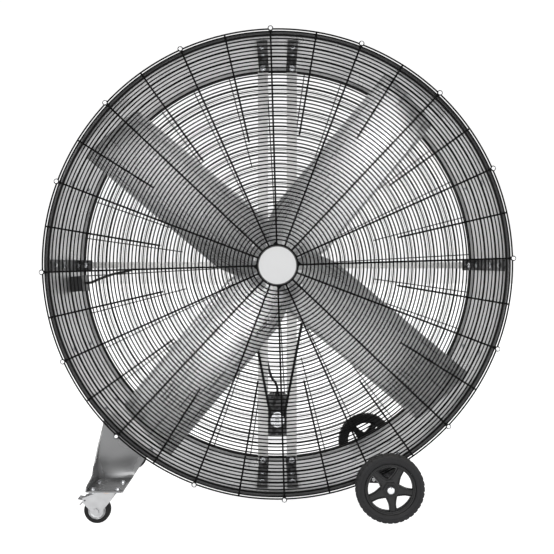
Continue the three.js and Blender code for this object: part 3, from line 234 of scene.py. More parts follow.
def detail_group():
    """Shared noise: a fine grain, a broad mottle and a drawn-out streak, each round 0.5."""
    group = bpy.data.node_groups.new("Surface detail", "ShaderNodeTree")
    face = group.interface
    face.new_socket("Vector", in_out="INPUT", socket_type="NodeSocketVector")
    for name, value in (("Grain scale", 900.0), ("Mottle scale", 12.0), ("Streak scale", 60.0)):
        face.new_socket(name, in_out="INPUT", socket_type="NodeSocketFloat").default_value = value
    face.new_socket("Stretch", in_out="INPUT", socket_type="NodeSocketVector").default_value = (1, 1, 1)
    for name in ("Grain", "Mottle", "Streak"):
        face.new_socket(name, in_out="OUTPUT", socket_type="NodeSocketFloat")
    nodes, links = group.nodes, group.links
    inp, out = nodes.new("NodeGroupInput"), nodes.new("NodeGroupOutput")
    scaled = nodes.new("ShaderNodeVectorMath")
    scaled.operation = "MULTIPLY"
    links.new(inp.outputs["Vector"], scaled.inputs[0])
    links.new(inp.outputs["Stretch"], scaled.inputs[1])
    for name, depth in (("Grain", 2.0), ("Mottle", 5.0), ("Streak", 4.0)):
        noise = nodes.new("ShaderNodeTexNoise")
        noise.inputs["Detail"].default_value = depth
        links.new((scaled if name == "Streak" else inp).outputs["Vector"], noise.inputs["Vector"])
        links.new(inp.outputs[name + " scale"], noise.inputs["Scale"])
        links.new(noise.outputs["Fac"], out.inputs[name])
    return group


DETAIL = detail_group()


DUST, BARE = (0.42, 0.40, 0.37), (0.42, 0.42, 0.43)
NOISE_LOW, NOISE_HIGH = 0.3, 0.7  # nearly all of a noise lies between these


def material(name, color, rough, metal=0.0, grain=900.0, mottle=12.0, streak=60.0, stretch=(1, 1, 1),
             spread=0.25, streaks=0.0, bump=0.15, depth=0.0002, coat=0.0, dust=0.0, wear=0.0, uv=False,
             rough_spread=0.12, spec=0.5):
    """A finish whose colour, roughness and normal vary with the shared noise.

    Dust settles on what faces up, and wear bares the edges."""
    mat = bpy.data.materials.new(name)
    mat.use_nodes = True
    nodes, links = mat.node_tree.nodes, mat.node_tree.links
    shader = nodes["Principled BSDF"]
    coord = nodes.new("ShaderNodeTexCoord")
    detail = nodes.new("ShaderNodeGroup")
    detail.node_tree = DETAIL
    links.new(coord.outputs["UV" if uv else "Object"], detail.inputs["Vector"])
    detail.inputs["Grain scale"].default_value = grain
    detail.inputs["Mottle scale"].default_value = mottle
    detail.inputs["Streak scale"].default_value = streak
    detail.inputs["Stretch"].default_value = stretch

    def math_node(op, a, b, clamp=False):
        node = nodes.new("ShaderNodeMath")
        node.operation = op
        node.use_clamp = clamp
        for socket, value in zip(node.inputs, (a, b)):
            if isinstance(value, (int, float)):
                socket.default_value = value
            else:
                links.new(value, socket)
        return node.outputs[0]

    def mix(kind, factor, a, b):
        node = nodes.new("ShaderNodeMix")
        node.data_type = "RGBA"
        node.blend_type = kind
        for key, value in (("Factor", factor), ("A", a), ("B", b)):
            socket = node.inputs[key]
            if isinstance(value, (int, float)):
                socket.default_value = value
            elif isinstance(value, tuple):
                socket.default_value = (*value, 1.0)
            else:
                links.new(value, socket)
        return node.outputs["Result"]

    def remap(value, low, high, to_low, to_high):
        node = nodes.new("ShaderNodeMapRange")
        for key, v in (("From Min", low), ("From Max", high), ("To Min", to_low), ("To Max", to_high)):
            node.inputs[key].default_value = v
        links.new(value, node.inputs["Value"])
        return node.outputs["Result"]

    def swing(output, middle, by):
        return remap(detail.outputs[output], NOISE_LOW, NOISE_HIGH, middle - by, middle + by)

    gain = swing("Mottle", 1, spread)
    if streaks:
        gain = math_node("MULTIPLY", gain, swing("Streak", 1, streaks))
    gain = math_node("MULTIPLY", gain, swing("Grain", 1, spread / 2))
    combine = nodes.new("ShaderNodeCombineColor")
    for i in range(3):
        links.new(gain, combine.inputs[i])
    tint = mix("MULTIPLY", 1.0, color, combine.outputs[0])
    if dust:
        geometry = nodes.new("ShaderNodeNewGeometry")
        split = nodes.new("ShaderNodeSeparateXYZ")
        links.new(geometry.outputs["Normal"], split.inputs[0])
        faces_up = remap(split.outputs["Z"], 0.2, 1.0, 0.0, dust)
        up = math_node("MULTIPLY", faces_up, detail.outputs["Mottle"])
        tint = mix("MIX", up, tint, DUST)
    if wear:
        pointed = nodes.new("ShaderNodeNewGeometry")
        edge = math_node("MULTIPLY", remap(pointed.outputs["Pointiness"], 0.52, 0.62, 0.0, wear),
                         remap(detail.outputs["Streak"], 0.42, 0.6, 0.0, 1.0), True)
        tint = mix("MIX", edge, tint, BARE)
    links.new(tint, shader.inputs["Base Color"])
    rough_value = remap(detail.outputs["Streak" if streaks else "Mottle"], NOISE_LOW, NOISE_HIGH,
                        max(rough - rough_spread, 0.03), min(rough + rough_spread, 1.0))
    links.new(rough_value, shader.inputs["Roughness"])
    shader.inputs["Metallic"].default_value = metal
    shader.inputs["Coat Weight"].default_value = coat
    shader.inputs["Coat Roughness"].default_value = 0.15
    shader.inputs["Specular IOR Level"].default_value = spec
    height = math_node("ADD", math_node("MULTIPLY", detail.outputs["Grain"], 0.5),
                       math_node("MULTIPLY", detail.outputs["Streak"], 1.0 if streaks else 0.2))
    relief = nodes.new("ShaderNodeBump")
    relief.inputs["Strength"].default_value = bump
    relief.inputs["Distance"].default_value = depth
    links.new(height, relief.inputs["Height"])
    links.new(relief.outputs["Normal"], shader.inputs["Normal"])
    return mat


PAINT = material("Charcoal powder coat", (0.016, 0.016, 0.017), 0.42, 0.0, grain=1400, mottle=5, spread=0.08,
                 bump=0.2, coat=0.15, dust=0.10, wear=0.15, rough_spread=0.05)
WALL = material("Inner drum steel", (0.62, 0.62, 0.625), 0.36, 0.55, grain=1100, mottle=3, streak=9,
                stretch=(1, 0.12, 1), spread=0.05, streaks=0.05, bump=0.08)
WIRE = material("Black wire coat", (0.004, 0.004, 0.004), 0.6, 0.0, grain=1600, spread=0.15, bump=0.1,
                spec=0.05)
FRAME = material("Black frame paint", (0.012, 0.012, 0.013), 0.42, 0.0, grain=1400, spread=0.15, bump=0.2,
                 coat=0.1, dust=0.03, wear=0.4, spec=0.25)
GALV = material("Galvanised channel", (0.72, 0.717, 0.708), 0.42, 0.4, grain=1100, mottle=28, spread=0.06,
                bump=0.1, rough_spread=0.08)
BLADE = material("Rolled blade steel", (0.575, 0.578, 0.582), 0.3, 0.74, grain=800, mottle=4, streak=30,
                 stretch=(0.25, 6, 1), spread=0.05, streaks=0.05, bump=0.05, uv=True)
LEG = material("Grey leg paint", (0.18, 0.181, 0.183), 0.3, 0.6, grain=1300, mottle=6, spread=0.05, bump=0.15,
               coat=0.2, dust=0.05, wear=0.3)
ZINC = material("Zinc plate", (0.66, 0.67, 0.69), 0.26, 1.0, grain=1500, mottle=45, spread=0.07, bump=0.1,
                rough_spread=0.06)
HUB = material("Grey hub casting", (0.45, 0.45, 0.455), 0.45, 0.4, grain=420, mottle=20, spread=0.15,
               bump=0.4, depth=0.0005, wear=0.3)
CLIP = material("Bright clip zinc", (0.86, 0.86, 0.87), 0.35, 0.3, grain=1500, mottle=45, spread=0.05,
                bump=0.1)
FORK = material("Caster zinc", (0.40, 0.402, 0.408), 0.36, 0.75, grain=1500, mottle=45, spread=0.06, bump=0.1,
                rough_spread=0.06)
CAST = material("Painted casting", (0.012, 0.012, 0.013), 0.55, 0.1, grain=420, mottle=20, spread=0.2,
                bump=0.5, depth=0.0006, dust=0.04, wear=0.3, spec=0.25)
STEEL = material("Turned steel", (0.50, 0.51, 0.52), 0.25, 1.0, streak=40, stretch=(1, 30, 1), spread=0.08,
                 streaks=0.15, bump=0.2)
BELT = material("Belt rubber", (0.010, 0.010, 0.010), 0.75, 0.0, grain=1500, spread=0.3, bump=0.5, dust=0.05,
                spec=0.2)
SHEATH = material("Cable sheath", (0.012, 0.012, 0.013), 0.45, 0.0, grain=1400, spread=0.2, bump=0.2, dust=0.1)
TYRE = material("Tyre rubber", (0.020, 0.020, 0.021), 0.62, 0.0, grain=1100, mottle=30, spread=0.15, bump=0.4,
                dust=0.12, spec=0.15)
RIM = material("Rim plastic", (0.006, 0.006, 0.0065), 0.3, 0.0, grain=1500, spread=0.15, bump=0.2, coat=0.15,
               spec=0.25)
BOX = material("Box plastic", (0.012, 0.012, 0.013), 0.42, 0.0, grain=1300, spread=0.2, bump=0.3, dust=0.08)
PEDAL = material("Pedal paint", (0.014, 0.014, 0.016), 0.38, 0.1, grain=1300, spread=0.2, bump=0.2, coat=0.2,
                 wear=0.6)
BADGE = material("Badge enamel", (0.50, 0.502, 0.505), 0.5, 0.0, grain=900, mottle=14, spread=0.02, bump=0.05,
                 spec=0.3)
COPPER = material("Yellow zinc", (0.62, 0.36, 0.18), 0.3, 1.0, grain=1500, mottle=60, spread=0.12, bump=0.1)

# ---- Camera and light ----

EYE = (-1.5, -2645.0, AXIS_Z)
EYE_DOWN = 0.96  # degrees
LENS = 45.4
FRONT_LIGHT, BACK_LIGHT = 0.42, 1.2  # strength of the room before and behind the fan
BACKDROP_WHITE = 1.05
FLOOR_GLOW, FLOOR_REACH = 0.92, 30.0

camera = bpy.data.cameras.new("Camera")
camera.lens = LENS
camera.sensor_width = 36.0
camera.clip_end = 100.0
eye = bpy.data.objects.new("Camera", camera)
eye.location = [c * MM for c in EYE]
eye.rotation_euler = (math.radians(90 - EYE_DOWN), 0, 0)
bpy.context.scene.collection.objects.link(eye)
bpy.context.scene.camera = eye


def area(name, place, target, size, power):
    """Square lamp at a place, in metres, turned to a target, with its side and its power in watts."""
    lamp = bpy.data.lights.new(name, "AREA")
    lamp.energy = power
    lamp.shape = "RECTANGLE"
    lamp.size = lamp.size_y = size
    obj = bpy.data.objects.new(name, lamp)
    place, target = np.array(place, float), np.array(target, float)
    n, u, v = basis(place - target)
    rows = [[*row, p] for row, p in zip(np.stack([u, v, n]).T.tolist(), place.tolist())]
    obj.matrix_world = mathutils.Matrix(rows + [[0, 0, 0, 1]])
    bpy.context.scene.collection.objects.link(obj)
    obj.visible_camera = False


area("Front", (0.0, -3.6, 0.8), (0, 0, 0.9), 1.8, 46)
area("Left", (-2.2, -3.2, 0.9), (0, 0, 0.9), 1.8, 22)
area("Right", (2.6, -3.0, 0.9), (0, 0, 0.9), 1.8, 24)
area("Glint left", (-1.9, -1.5, 1.8), (-0.2, 0, 0.7), 0.42, 14)
area("Glint right", (2.1, -1.3, 0.6), (0.35, 0, 1.1), 0.6, 9)
area("Over", (0.35, -1.35, 2.9), (-0.45, 0, 1.2), 0.9, 6)

world = bpy.data.worlds.new("Studio")
bpy.context.scene.world = world
world.use_nodes = True
wn, wl = world.node_tree.nodes, world.node_tree.links
wn.clear()
path = wn.new("ShaderNodeLightPath")
room = wn.new("ShaderNodeBackground")
sky = wn.new("ShaderNodeTexCoord")
part = wn.new("ShaderNodeSeparateXYZ")
backdrop = wn.new("ShaderNodeMapRange")
backdrop.interpolation_type = "SMOOTHSTEP"
for key, value in (("From Min", 0.2), ("From Max", 0.95), ("To Min", FRONT_LIGHT), ("To Max", BACK_LIGHT)):
    backdrop.inputs[key].default_value = value
wl.new(sky.outputs["Generated"], part.inputs[0])
wl.new(part.outputs["Y"], backdrop.inputs["Value"])
room.inputs["Color"].default_value = (0.995, 0.995, 0.995, 1)
wl.new(backdrop.outputs["Result"], room.inputs["Strength"])
white = wn.new("ShaderNodeBackground")
white.inputs["Color"].default_value = (1, 1, 1, 1)
white.inputs["Strength"].default_value = BACKDROP_WHITE
choose = wn.new("ShaderNodeMixShader")
wl.new(path.outputs["Is Camera Ray"], choose.inputs["Fac"])
wl.new(room.outputs[0], choose.inputs[1])
wl.new(white.outputs[0], choose.inputs[2])
wl.new(choose.outputs[0], wn.new("ShaderNodeOutputWorld").inputs["Surface"])

floor_mesh = bpy.data.meshes.new("Floor")
corners = [(x * FLOOR_REACH, y * FLOOR_REACH, 0) for x, y in ((-1, -1), (1, -1), (1, 1), (-1, 1))]
floor_mesh.from_pydata(corners, [], [(0, 1, 2, 3)])
floor = bpy.data.objects.new("Floor", floor_mesh)
bpy.context.scene.collection.objects.link(floor)
fmat = bpy.data.materials.new("Floor")
fmat.use_nodes = True
fn, flk = fmat.node_tree.nodes, fmat.node_tree.links
matt = fn["Principled BSDF"]
matt.inputs["Base Color"].default_value = (0.70, 0.70, 0.70, 1)
matt.inputs["Roughness"].default_value = 0.9
matt.inputs["Specular IOR Level"].default_value = 0.0
glow = fn.new("ShaderNodeEmission")
glow.inputs["Strength"].default_value = FLOOR_GLOW
fpath = fn.new("ShaderNodeLightPath")
both = fn.new("ShaderNodeAddShader")
pick = fn.new("ShaderNodeMixShader")
flk.new(matt.outputs[0], both.inputs[0])
flk.new(glow.outputs[0], both.inputs[1])
seen = fn.new("ShaderNodeMath")
seen.operation = "MAXIMUM"
flk.new(fpath.outputs["Is Camera Ray"], seen.inputs[0])
flk.new(fpath.outputs["Is Glossy Ray"], seen.inputs[1])
flk.new(seen.outputs[0], pick.inputs["Fac"])
flk.new(matt.outputs[0], pick.inputs[1])
flk.new(both.outputs[0], pick.inputs[2])
flk.new(pick.outputs[0], fn["Material Output"].inputs["Surface"])
floor_mesh.materials.append(fmat)

scene = bpy.context.scene
scene.view_settings.view_transform = "Standard"
scene.view_settings.look = "None"
scene.view_settings.exposure = 0.0
scene.view_settings.gamma = 1.0

# ---- Drum ----


def arc(middle, radius, start, end, steps):
    """Points (r, y) on a circle round middle from one angle to another, in degrees."""
    a = np.radians(np.linspace(start, end, steps))
    return [(middle[0] + radius * math.cos(t), middle[1] + radius * math.sin(t)) for t in a]


WALL_SHEET = 2.0
RIB_Y, RIB_HEIGHT, RIB_HALF = 186.0, 4.5, 7.0
ROUND = 256  # sides of the drum


def wall_radius(y):
    """Inner radius R - sheet less two rolled ribs: h (1 + cos(pi d / w)) / 2 within w of each rib."""
    away = np.minimum(np.abs(np.abs(y) - RIB_Y) / RIB_HALF, 1.0)
    return DRUM_R - WALL_SHEET - RIB_HEIGHT * (1 + np.cos(math.pi * away)) / 2


def drum():
    """Wall inside and outside, a round wire rolled into each edge and a bead inside the rear one, coated black
    as painted shade along the rear edge.
    """
    inside, outside = Surface(), Surface()
    half = HALF - 8
    rib = np.linspace(-RIB_HALF, RIB_HALF, 9)
    y = np.concatenate([[-half], -RIB_Y + rib, np.linspace(-150, 150, 7), RIB_Y + rib, [half]])
    inside.turned(np.stack([wall_radius(y), y], -1), (0, 0, AXIS_Z), (0, 1, 0), ROUND)
    front = arc((DRUM_R - 4, -HALF + 8), 8.0, 60, 320, 16)
    rear = arc((DRUM_R - 1, HALF - 5), 5.0, 40, 300, 12)
    wall = [(DRUM_R, y) for y in np.linspace(-half + 4, half - 4, 7)]
    start, end = (DRUM_R - WALL_SHEET, -half + 2), (DRUM_R - WALL_SHEET, half + 1)
    outside.turned([start] + front[::-1] + wall + rear[::-1] + [end], (0, 0, AXIS_Z), (0, 1, 0), ROUND)
    # The rear bead is real, but its black wire coat is painted shade: it darkens the rear edge where shade falls
    # inside the drum.
    bead = Surface()
    bead.ring(DRUM_R - 4.6, HALF - 3.4, 3.2, ROUND, 10)
    bead.piece("drum_rear_shade_bead", WIRE, "drum_paint", angle=60)
    inside.piece("drum_inner_wall", WALL, "drum_paint", replaces=("drum",))
    outside.piece("drum_outer_wall", PAINT, "drum_paint")


drum()

# ---- Guards ----


def dome(r):
    """Height of the guard over its hoop: D (1 - t^1.7), t from the middle to the hoop."""
    t = np.clip((np.asarray(r, float) - DOME_R) / (HOOP_R - DOME_R), 0, 1)
    return DOME * (1 - t ** 1.7)


HEAVY_RINGS = (49, 52, 55)  # counted from the middle
HEAVIER = 1.5
SPOKES, SPOKE_STEP = 16, 22.5
HUB_RING_R = 69.0
HOOP_WIRE = 2.8
# Radius at which each short spoke starts, anticlockwise.
SHORT_STARTS = [415, 463, 510, 446, 425, 429, 495, 401, 396, 431, 494, 396, 400, 477, 494, 410]


def guard(name, side, first, ring_wire, spoke_wire, segments):
    """Domed rings and spokes between a hoop and a small inner ring, clipped to the drum's edge."""
    wires, rings, clips = Surface(), Surface(), Surface()
    for k in range(RING_COUNT):
        r = HOOP_R - RING_PITCH * (RING_COUNT - k)
        wire = ring_wire * (HEAVIER if k in HEAVY_RINGS else 1.0)
        rings.ring(r, side * (GUARD_Y + float(dome(r)) + spoke_wire + ring_wire * 0.8), wire, segments)
    wires.ring(HOOP_R - HOOP_WIRE, side * GUARD_Y, HOOP_WIRE, ROUND, 10)
    wires.ring(HUB_RING_R, side * (GUARD_Y + float(dome(HUB_RING_R)) + spoke_wire), 2.6, 64, 8)
    for k in range(SPOKES):
        for start, turn in ((DOME_R, 0.0), (SHORT_STARTS[k], SPOKE_STEP / 2)):
            a = first + SPOKE_STEP * k + turn
            radii = np.linspace(start, HOOP_R - 4, 26)
            path = [clock(r, a, side * (GUARD_Y + float(dome(r)))) for r in radii]
            wires.tube(path, spoke_wire, 8)
        a = first + SPOKE_STEP * k
        out = -inward(a)
        base = clock(HOOP_R - 1, a, side * (GUARD_Y + 3.2))
        wires.turned([(0, 1.2), (9.4, 1.2), (9.4, -1.2), (0, -1.2)], base, (0, side, 0), 20)
        clips.bolt(base + np.array([0, side * 1.2, 0]), (0, side, 0), 6.6, 4.0, 0, turn=0.2 * k)
        tab = [(-5, -5), (5, -5), (5, 5), (-5, 5)]
        clips.solid(tab, clock(HOOP_R - 4, a, side * (GUARD_Y - 10)), (0, 1, 0), out, 4, 0.5)
    rings.piece(name + "_rings", WIRE, "guard_wire", replaces=(name,), angle=75)
    wires.piece(name + "_spokes", WIRE, "guard_wire", angle=60)
    clips.piece(name + "_clips", CLIP, "zinc_plate")


guard("front_guard", -1, 1.7, 2.3, 3.0, 192)
guard("rear_guard", 1, 3.2, 1.0, 2.0, 144)


def badge():
    """Bare crowned disc with a rolled rim: h = H (1 - (r / R)^2)."""
    plate, edge = Surface(), Surface()
    y = -(GUARD_Y + DOME + 5.6)
    profile = [(r, 1.2 + 3.2 * (1 - (r / 63.0) ** 2)) for r in np.linspace(0, 63, 14)]
    plate.turned(profile, (0, y, AXIS_Z), (0, -1, 0), 96)
    edge.turned([(62.6, 0.9), *arc((64.4, 1.0), 1.8, 160, -60, 8), (65.0, -2.6), (0, -2.6)], (0, y, AXIS_Z),
                (0, -1, 0), 96)
    plate.piece("badge_face", BADGE, "badge_enamel", replaces=("guard_badge",))
    edge.piece("badge_edge", PAINT, "badge_enamel")


badge()

# ---- Rotor ----

BLADE_ROOT, TIP_SWEEP, CHORD, CAMBER, SHEET = 62.0, 774.0, 287.0, 16.0, 2.5
TIP_CORNER = 7.0
LIP_START, LIP_DEPTH = 0.86, 13.0  # of the half chord, and how far its edge turns back
ROOT_SHARE, ROOT_TAPER = 0.70, 95.0  # width at the root, and how far out it is full
HIGHLIGHT_STRIPE = (-0.965, -0.895)  # painted highlight along the lip's edge, in half chords
BLADE_BOLTS = ((113, 0.0), (78, -0.36), (78, 0.36))  # radius, half chords


def tip_reach(c):
    """Length of a blade at a chord place, its tip on the circle T: sqrt(T^2 - ((c + L) cos p)^2)."""
    return np.sqrt(TIP_SWEEP ** 2 - ((c + LEAD) * math.cos(PITCH)) ** 2)


def half_chord(r, reach=TIP_SWEEP):
    """Half width of a blade at a radius: a rounded root, straight sides and rounded tip corners."""
    half = CHORD / 2
    root = ROOT_SHARE + (1 - ROOT_SHARE) * np.clip((r - BLADE_ROOT) / ROOT_TAPER, 0, 1) ** 0.7
    t = np.clip((r - (reach - TIP_CORNER)) / TIP_CORNER, 0, 1)
    return half * root - TIP_CORNER * (1 - np.sqrt(np.clip(1 - t * t, 0, 1)))


def blade_point(r, s, lift, angle, reach=TIP_SWEEP):
    """Blade surface at a clock angle: chord place c = s W(r), bulge -C (2 c / W)^2, lip turned back, pitched."""
    c = s * half_chord(r, reach)
    lip = LIP_DEPTH * np.clip((-s - LIP_START) / (1 - LIP_START), 0, 1) ** 2
    y = -CAMBER * (2 * c / CHORD) ** 2 + lift + lip
    z = c + LEAD
    yy = y * math.cos(PITCH) - z * math.sin(PITCH)
    zz = y * math.sin(PITCH) + z * math.cos(PITCH)
    a = math.radians(angle)
    x, z = r * math.cos(a) - zz * math.sin(a), AXIS_Z + r * math.sin(a) + zz * math.cos(a)
    return np.stack([x, BLADE_Y + yy, z], -1)


def blade(k):
    """Sheet with both faces and its edges, a bright stripe of painted highlight along its lip, and three bolts.
    """
    angle = FIRST_BLADE + 90 * k
    sheet = Surface()
    tip = -TIP_CORNER * (1 - np.sin(np.linspace(0, math.pi / 2, 7)))
    span = TIP_SWEEP - BLADE_ROOT
    along = np.concatenate([np.linspace(0, ROOT_TAPER, 8), np.linspace(130, span - 60, 16), span + tip]) / span
    s = np.concatenate([np.linspace(-1, -LIP_START, 7), np.linspace(-LIP_START, 1, 20)[1:]])
    tt, ss = np.meshgrid(along, s, indexing="ij")
    reach = tip_reach(ss * CHORD / 2)
    rr = BLADE_ROOT + tt * span + np.clip(tt * span / (span - TIP_CORNER), 0, 1) * (reach - TIP_SWEEP)
    uv = np.stack([rr, ss * 127], -1) * MM
    top, low = (blade_point(rr, ss, lift, angle, reach) for lift in (0.0, -SHEET))
    n, m = rr.shape
    sheet.add(np.concatenate([top.reshape(-1, 3), low.reshape(-1, 3)]), grid_faces(n, m),
              grid_faces(n, m)[:, ::-1] + n * m, uv=np.concatenate([uv.reshape(-1, 2)] * 2))
    loop = np.concatenate([np.arange(m), np.arange(1, n) * m + m - 1, (n - 1) * m + np.arange(m - 2, -1, -1),
                           np.arange(n - 2, 0, -1) * m])
    nxt = np.roll(loop, -1)
    sheet.faces.append(np.stack([loop, loop + n * m, nxt + n * m, nxt], -1))
    sheet.piece("blade_%d_sheet" % (k + 1), BLADE, "blade_steel", "rotor", ("blade_%d" % (k + 1),))
    # The bright zinc stripe just behind the lip's edge is painted highlight: it stands in for the lamps' glint
    # along the rolled edge.
    rr, ss = np.meshgrid(np.linspace(150, TIP_SWEEP - 22, 24), np.linspace(*HIGHLIGHT_STRIPE, 3), indexing="ij")
    lip_highlight = Surface()
    lip_highlight.add(blade_point(rr, ss, -SHEET - 0.4, angle), grid_faces(*rr.shape))
    lip_highlight.piece("blade_%d_lip" % (k + 1), CLIP, "blade_steel", "rotor")
    heads = Surface()
    a = math.radians(angle)
    normal = np.array([math.sin(a) * math.sin(PITCH), -math.cos(PITCH), -math.cos(a) * math.sin(PITCH)])
    for r0, s0 in BLADE_BOLTS:
        base = blade_point(np.array(float(r0)), np.array(s0 - LEAD / half_chord(r0)), -SHEET, angle)
        heads.bolt(base, normal, 6.0, 5.0, 8.5, turn=k + s0)
    heads.piece("blade_%d_bolts" % (k + 1), CLIP, "zinc_plate", "rotor")


for k in range(4):
    blade(k)


def v_pulley(surface, y, z, radius, bore, hub, web):
    """Grooved rim, dished web and turned hub about the Y axis."""
    half, groove = 11.0, radius - 10.0
    rim = groove - 8
    outer = [(rim, -half), (radius - 1, -half), (radius, -half + 1), (radius, -half + 3.0), (groove, -6.0),
             (groove, 6.0), (radius, half - 3.0), (radius, half - 1), (radius - 1, half)]
    if rim > hub + 5:
        inner = [(bore, half), (bore, -half), (hub - 1, -half), (hub, -half + 1), (hub + 1, half - web - 2),
                 (hub + 4, half - web), (rim - 4, half - web), (rim, half - web - 4)]
    else:
        inner = [(bore, half), (bore, -half)]
        outer = outer[1:]
    surface.turned(inner + outer, (0, y, z), (0, 1, 0), 96, closed=True)


big, small = Surface(), Surface()
v_pulley(big, PULLEY_Y, AXIS_Z, 136, 13.1, 34, 7)
v_pulley(small, PULLEY_Y, MOTOR_Z, 27, 8.4, 27, 0)
big.piece("fan_pulley_wheel", CAST, "cast_iron", "rotor", ("fan_pulley",))
small.piece("motor_pulley_wheel", ZINC, "zinc_plate", "motor_rotor", ("motor_pulley",))

shaft = Surface()
shaft.turned([(0, -141.65), (11.2, -141.65), (12.7, -140.1), (12.7, 132.5), (11.5, 133.8), (0, 133.8)],
             (0, 0, AXIS_Z), (0, 1, 0), 40)
shaft.piece("fan_shaft_bar", STEEL, "machined_steel", "rotor", ("fan_shaft",))
shaft = Surface()
shaft.turned([(0, -23), (7, -23), (8, -22), (8, 93), (0, 93)], (0, 0, MOTOR_Z), (0, 1, 0), 32)
shaft.piece("motor_shaft_bar", STEEL, "machined_steel", "motor_rotor", ("motor_shaft",))


def belt():
    """V section carried round both pulleys: straight sides tangent to arcs of radii R and r."""
    big, small, drop = 131.7, 22.7, 585.0
    lean = math.asin((big - small) / drop)
    path = []
    for t in np.linspace(-lean, math.pi + lean, 90):
        path.append((big * math.cos(t), big * math.sin(t), math.cos(t), math.sin(t)))
    for t in np.linspace(math.pi + lean, 2 * math.pi - lean, 40):
        path.append((small * math.cos(t), -drop + small * math.sin(t), math.cos(t), math.sin(t)))
    section = [(4.5, -6.5), (4.5, 6.5), (3.6, 6.5), (-4.5, 4.0), (-4.5, -4.0), (3.6, -6.5)]
    rows = [[(x + nx * h, PULLEY_Y + w, AXIS_Z + z + nz * h) for h, w in section] for x, z, nx, nz in path]
    s = Surface()
    s.add(np.array(rows), grid_faces(len(rows), len(section), True, True))
    s.piece("drive_belt_loop", BELT, "belt_rubber", replaces=("drive_belt",))


belt()


def bearing(name, y0, side):
    """Turned flange and boss with its grease screw."""
    s = Surface()
    s.turned([(13.1, 0), (30, 0), (31, 1), (31, 8.5), (29.5, 10), (25, 12), (24, 14), (22, 28), (20.5, 30),
              (17, 30), (16, 28.5), (13.1, 28.5)], (0, y0, AXIS_Z), (0, side, 0), 64, closed=True)
    s.bolt((0, y0 + side * 20, AXIS_Z + 22), (0, 0, 1), 3.2, 2.4, 0)
    s.piece(name + "_housing", CAST, "cast_iron", replaces=(name,))


bearing("front_bearing", 17.8, 1)
bearing("rear_bearing", 135.5, -1)

# ---- Motor ----


def motor():
    """Finned frame with a cable gland, between two bolted end bells."""
    frame_part, bells = Surface(), Surface()
    fins, radius = 40, 73.0
    angles, radii = [], []
    for k in range(fins):
        for turn, r in ((-3.4, radius - 6), (-1.5, radius - 0.6), (-0.9, radius), (0.9, radius),
                        (1.5, radius - 0.6), (3.4, radius - 6)):
            angles.append(math.radians(k * 360 / fins + turn))
            radii.append(r)
    a, r = np.array(angles), np.array(radii)
    ys = np.array([93.4, 94.4, 188.4, 189.4])
    shrink = np.array([0.985, 1.0, 1.0, 0.985])
    rows = np.stack([np.stack([s * r * np.cos(a), np.full_like(a, y), MOTOR_Z + s * r * np.sin(a)], -1)
                     for y, s in zip(ys, shrink)])
    n = len(a)
    ends = np.arange(n)[None, ::-1], 3 * n + np.arange(n)[None, :]
    frame_part.add(rows, grid_faces(4, n, False, True), *ends)
    gland = [(0, 18), (6, 18), (9, 16), (9, 10), (11, 9), (11, 3), (14, 0)]
    frame_part.turned(gland, (0, 123.4, MOTOR_Z + 66), (0, 0, 1), 24)
    for side, y0 in ((-1, 93.1), (1, 189.7)):
        bells.turned([(8.4 if side < 0 else 0, 26), (18, 26), (24, 24.5), (30, 24), (44, 25.5), (60, 21),
                      (69, 13), (71, 10), (71, 0), (0, 0)], (0, y0, MOTOR_Z), (0, side, 0), 72)
        for k in range(4):
            t = math.radians(45 + 90 * k)
            place = (62 * math.cos(t), y0 + side * 18.5, MOTOR_Z + 62 * math.sin(t))
            bells.bolt(place, (0, side, 0), 5, 4, 7)
    frame_part.piece("motor_frame", FRAME, "cast_iron", replaces=("motor_body",), angle=30)
    bells.piece("motor_bells", CAST, "cast_iron", replaces=("motor_front_bell", "motor_rear_bell"))


motor()


def smooth_path(points, step=6):
    """Centripetal Catmull-Rom curve through the points."""
    p = [np.asarray(q, float) for q in points]
    p = [2 * p[0] - p[1]] + p + [2 * p[-1] - p[-2]]
    out = []
    for i in range(1, len(p) - 2):
        a, b, c, d = p[i - 1:i + 3]
        t0 = 0.0
        t1 = t0 + np.linalg.norm(b - a) ** 0.5
        t2 = t1 + np.linalg.norm(c - b) ** 0.5
        t3 = t2 + np.linalg.norm(d - c) ** 0.5
        for t in np.linspace(t1, t2, step, endpoint=False):
            ab = a * (t1 - t) / (t1 - t0) + b * (t - t0) / (t1 - t0)
            bc = b * (t2 - t) / (t2 - t1) + c * (t - t1) / (t2 - t1)
            cd = c * (t3 - t) / (t3 - t2) + d * (t - t2) / (t3 - t2)
            abc = ab * (t2 - t) / (t2 - t0) + bc * (t - t0) / (t2 - t0)
            bcd = bc * (t3 - t) / (t3 - t1) + cd * (t - t1) / (t3 - t1)
            out.append(abc * (t2 - t) / (t2 - t1) + bcd * (t - t1) / (t2 - t1))
    out.append(p[-2])
    return out


CABLE_R = 5.0
CABLE_TIES = (-430, -325, -220)


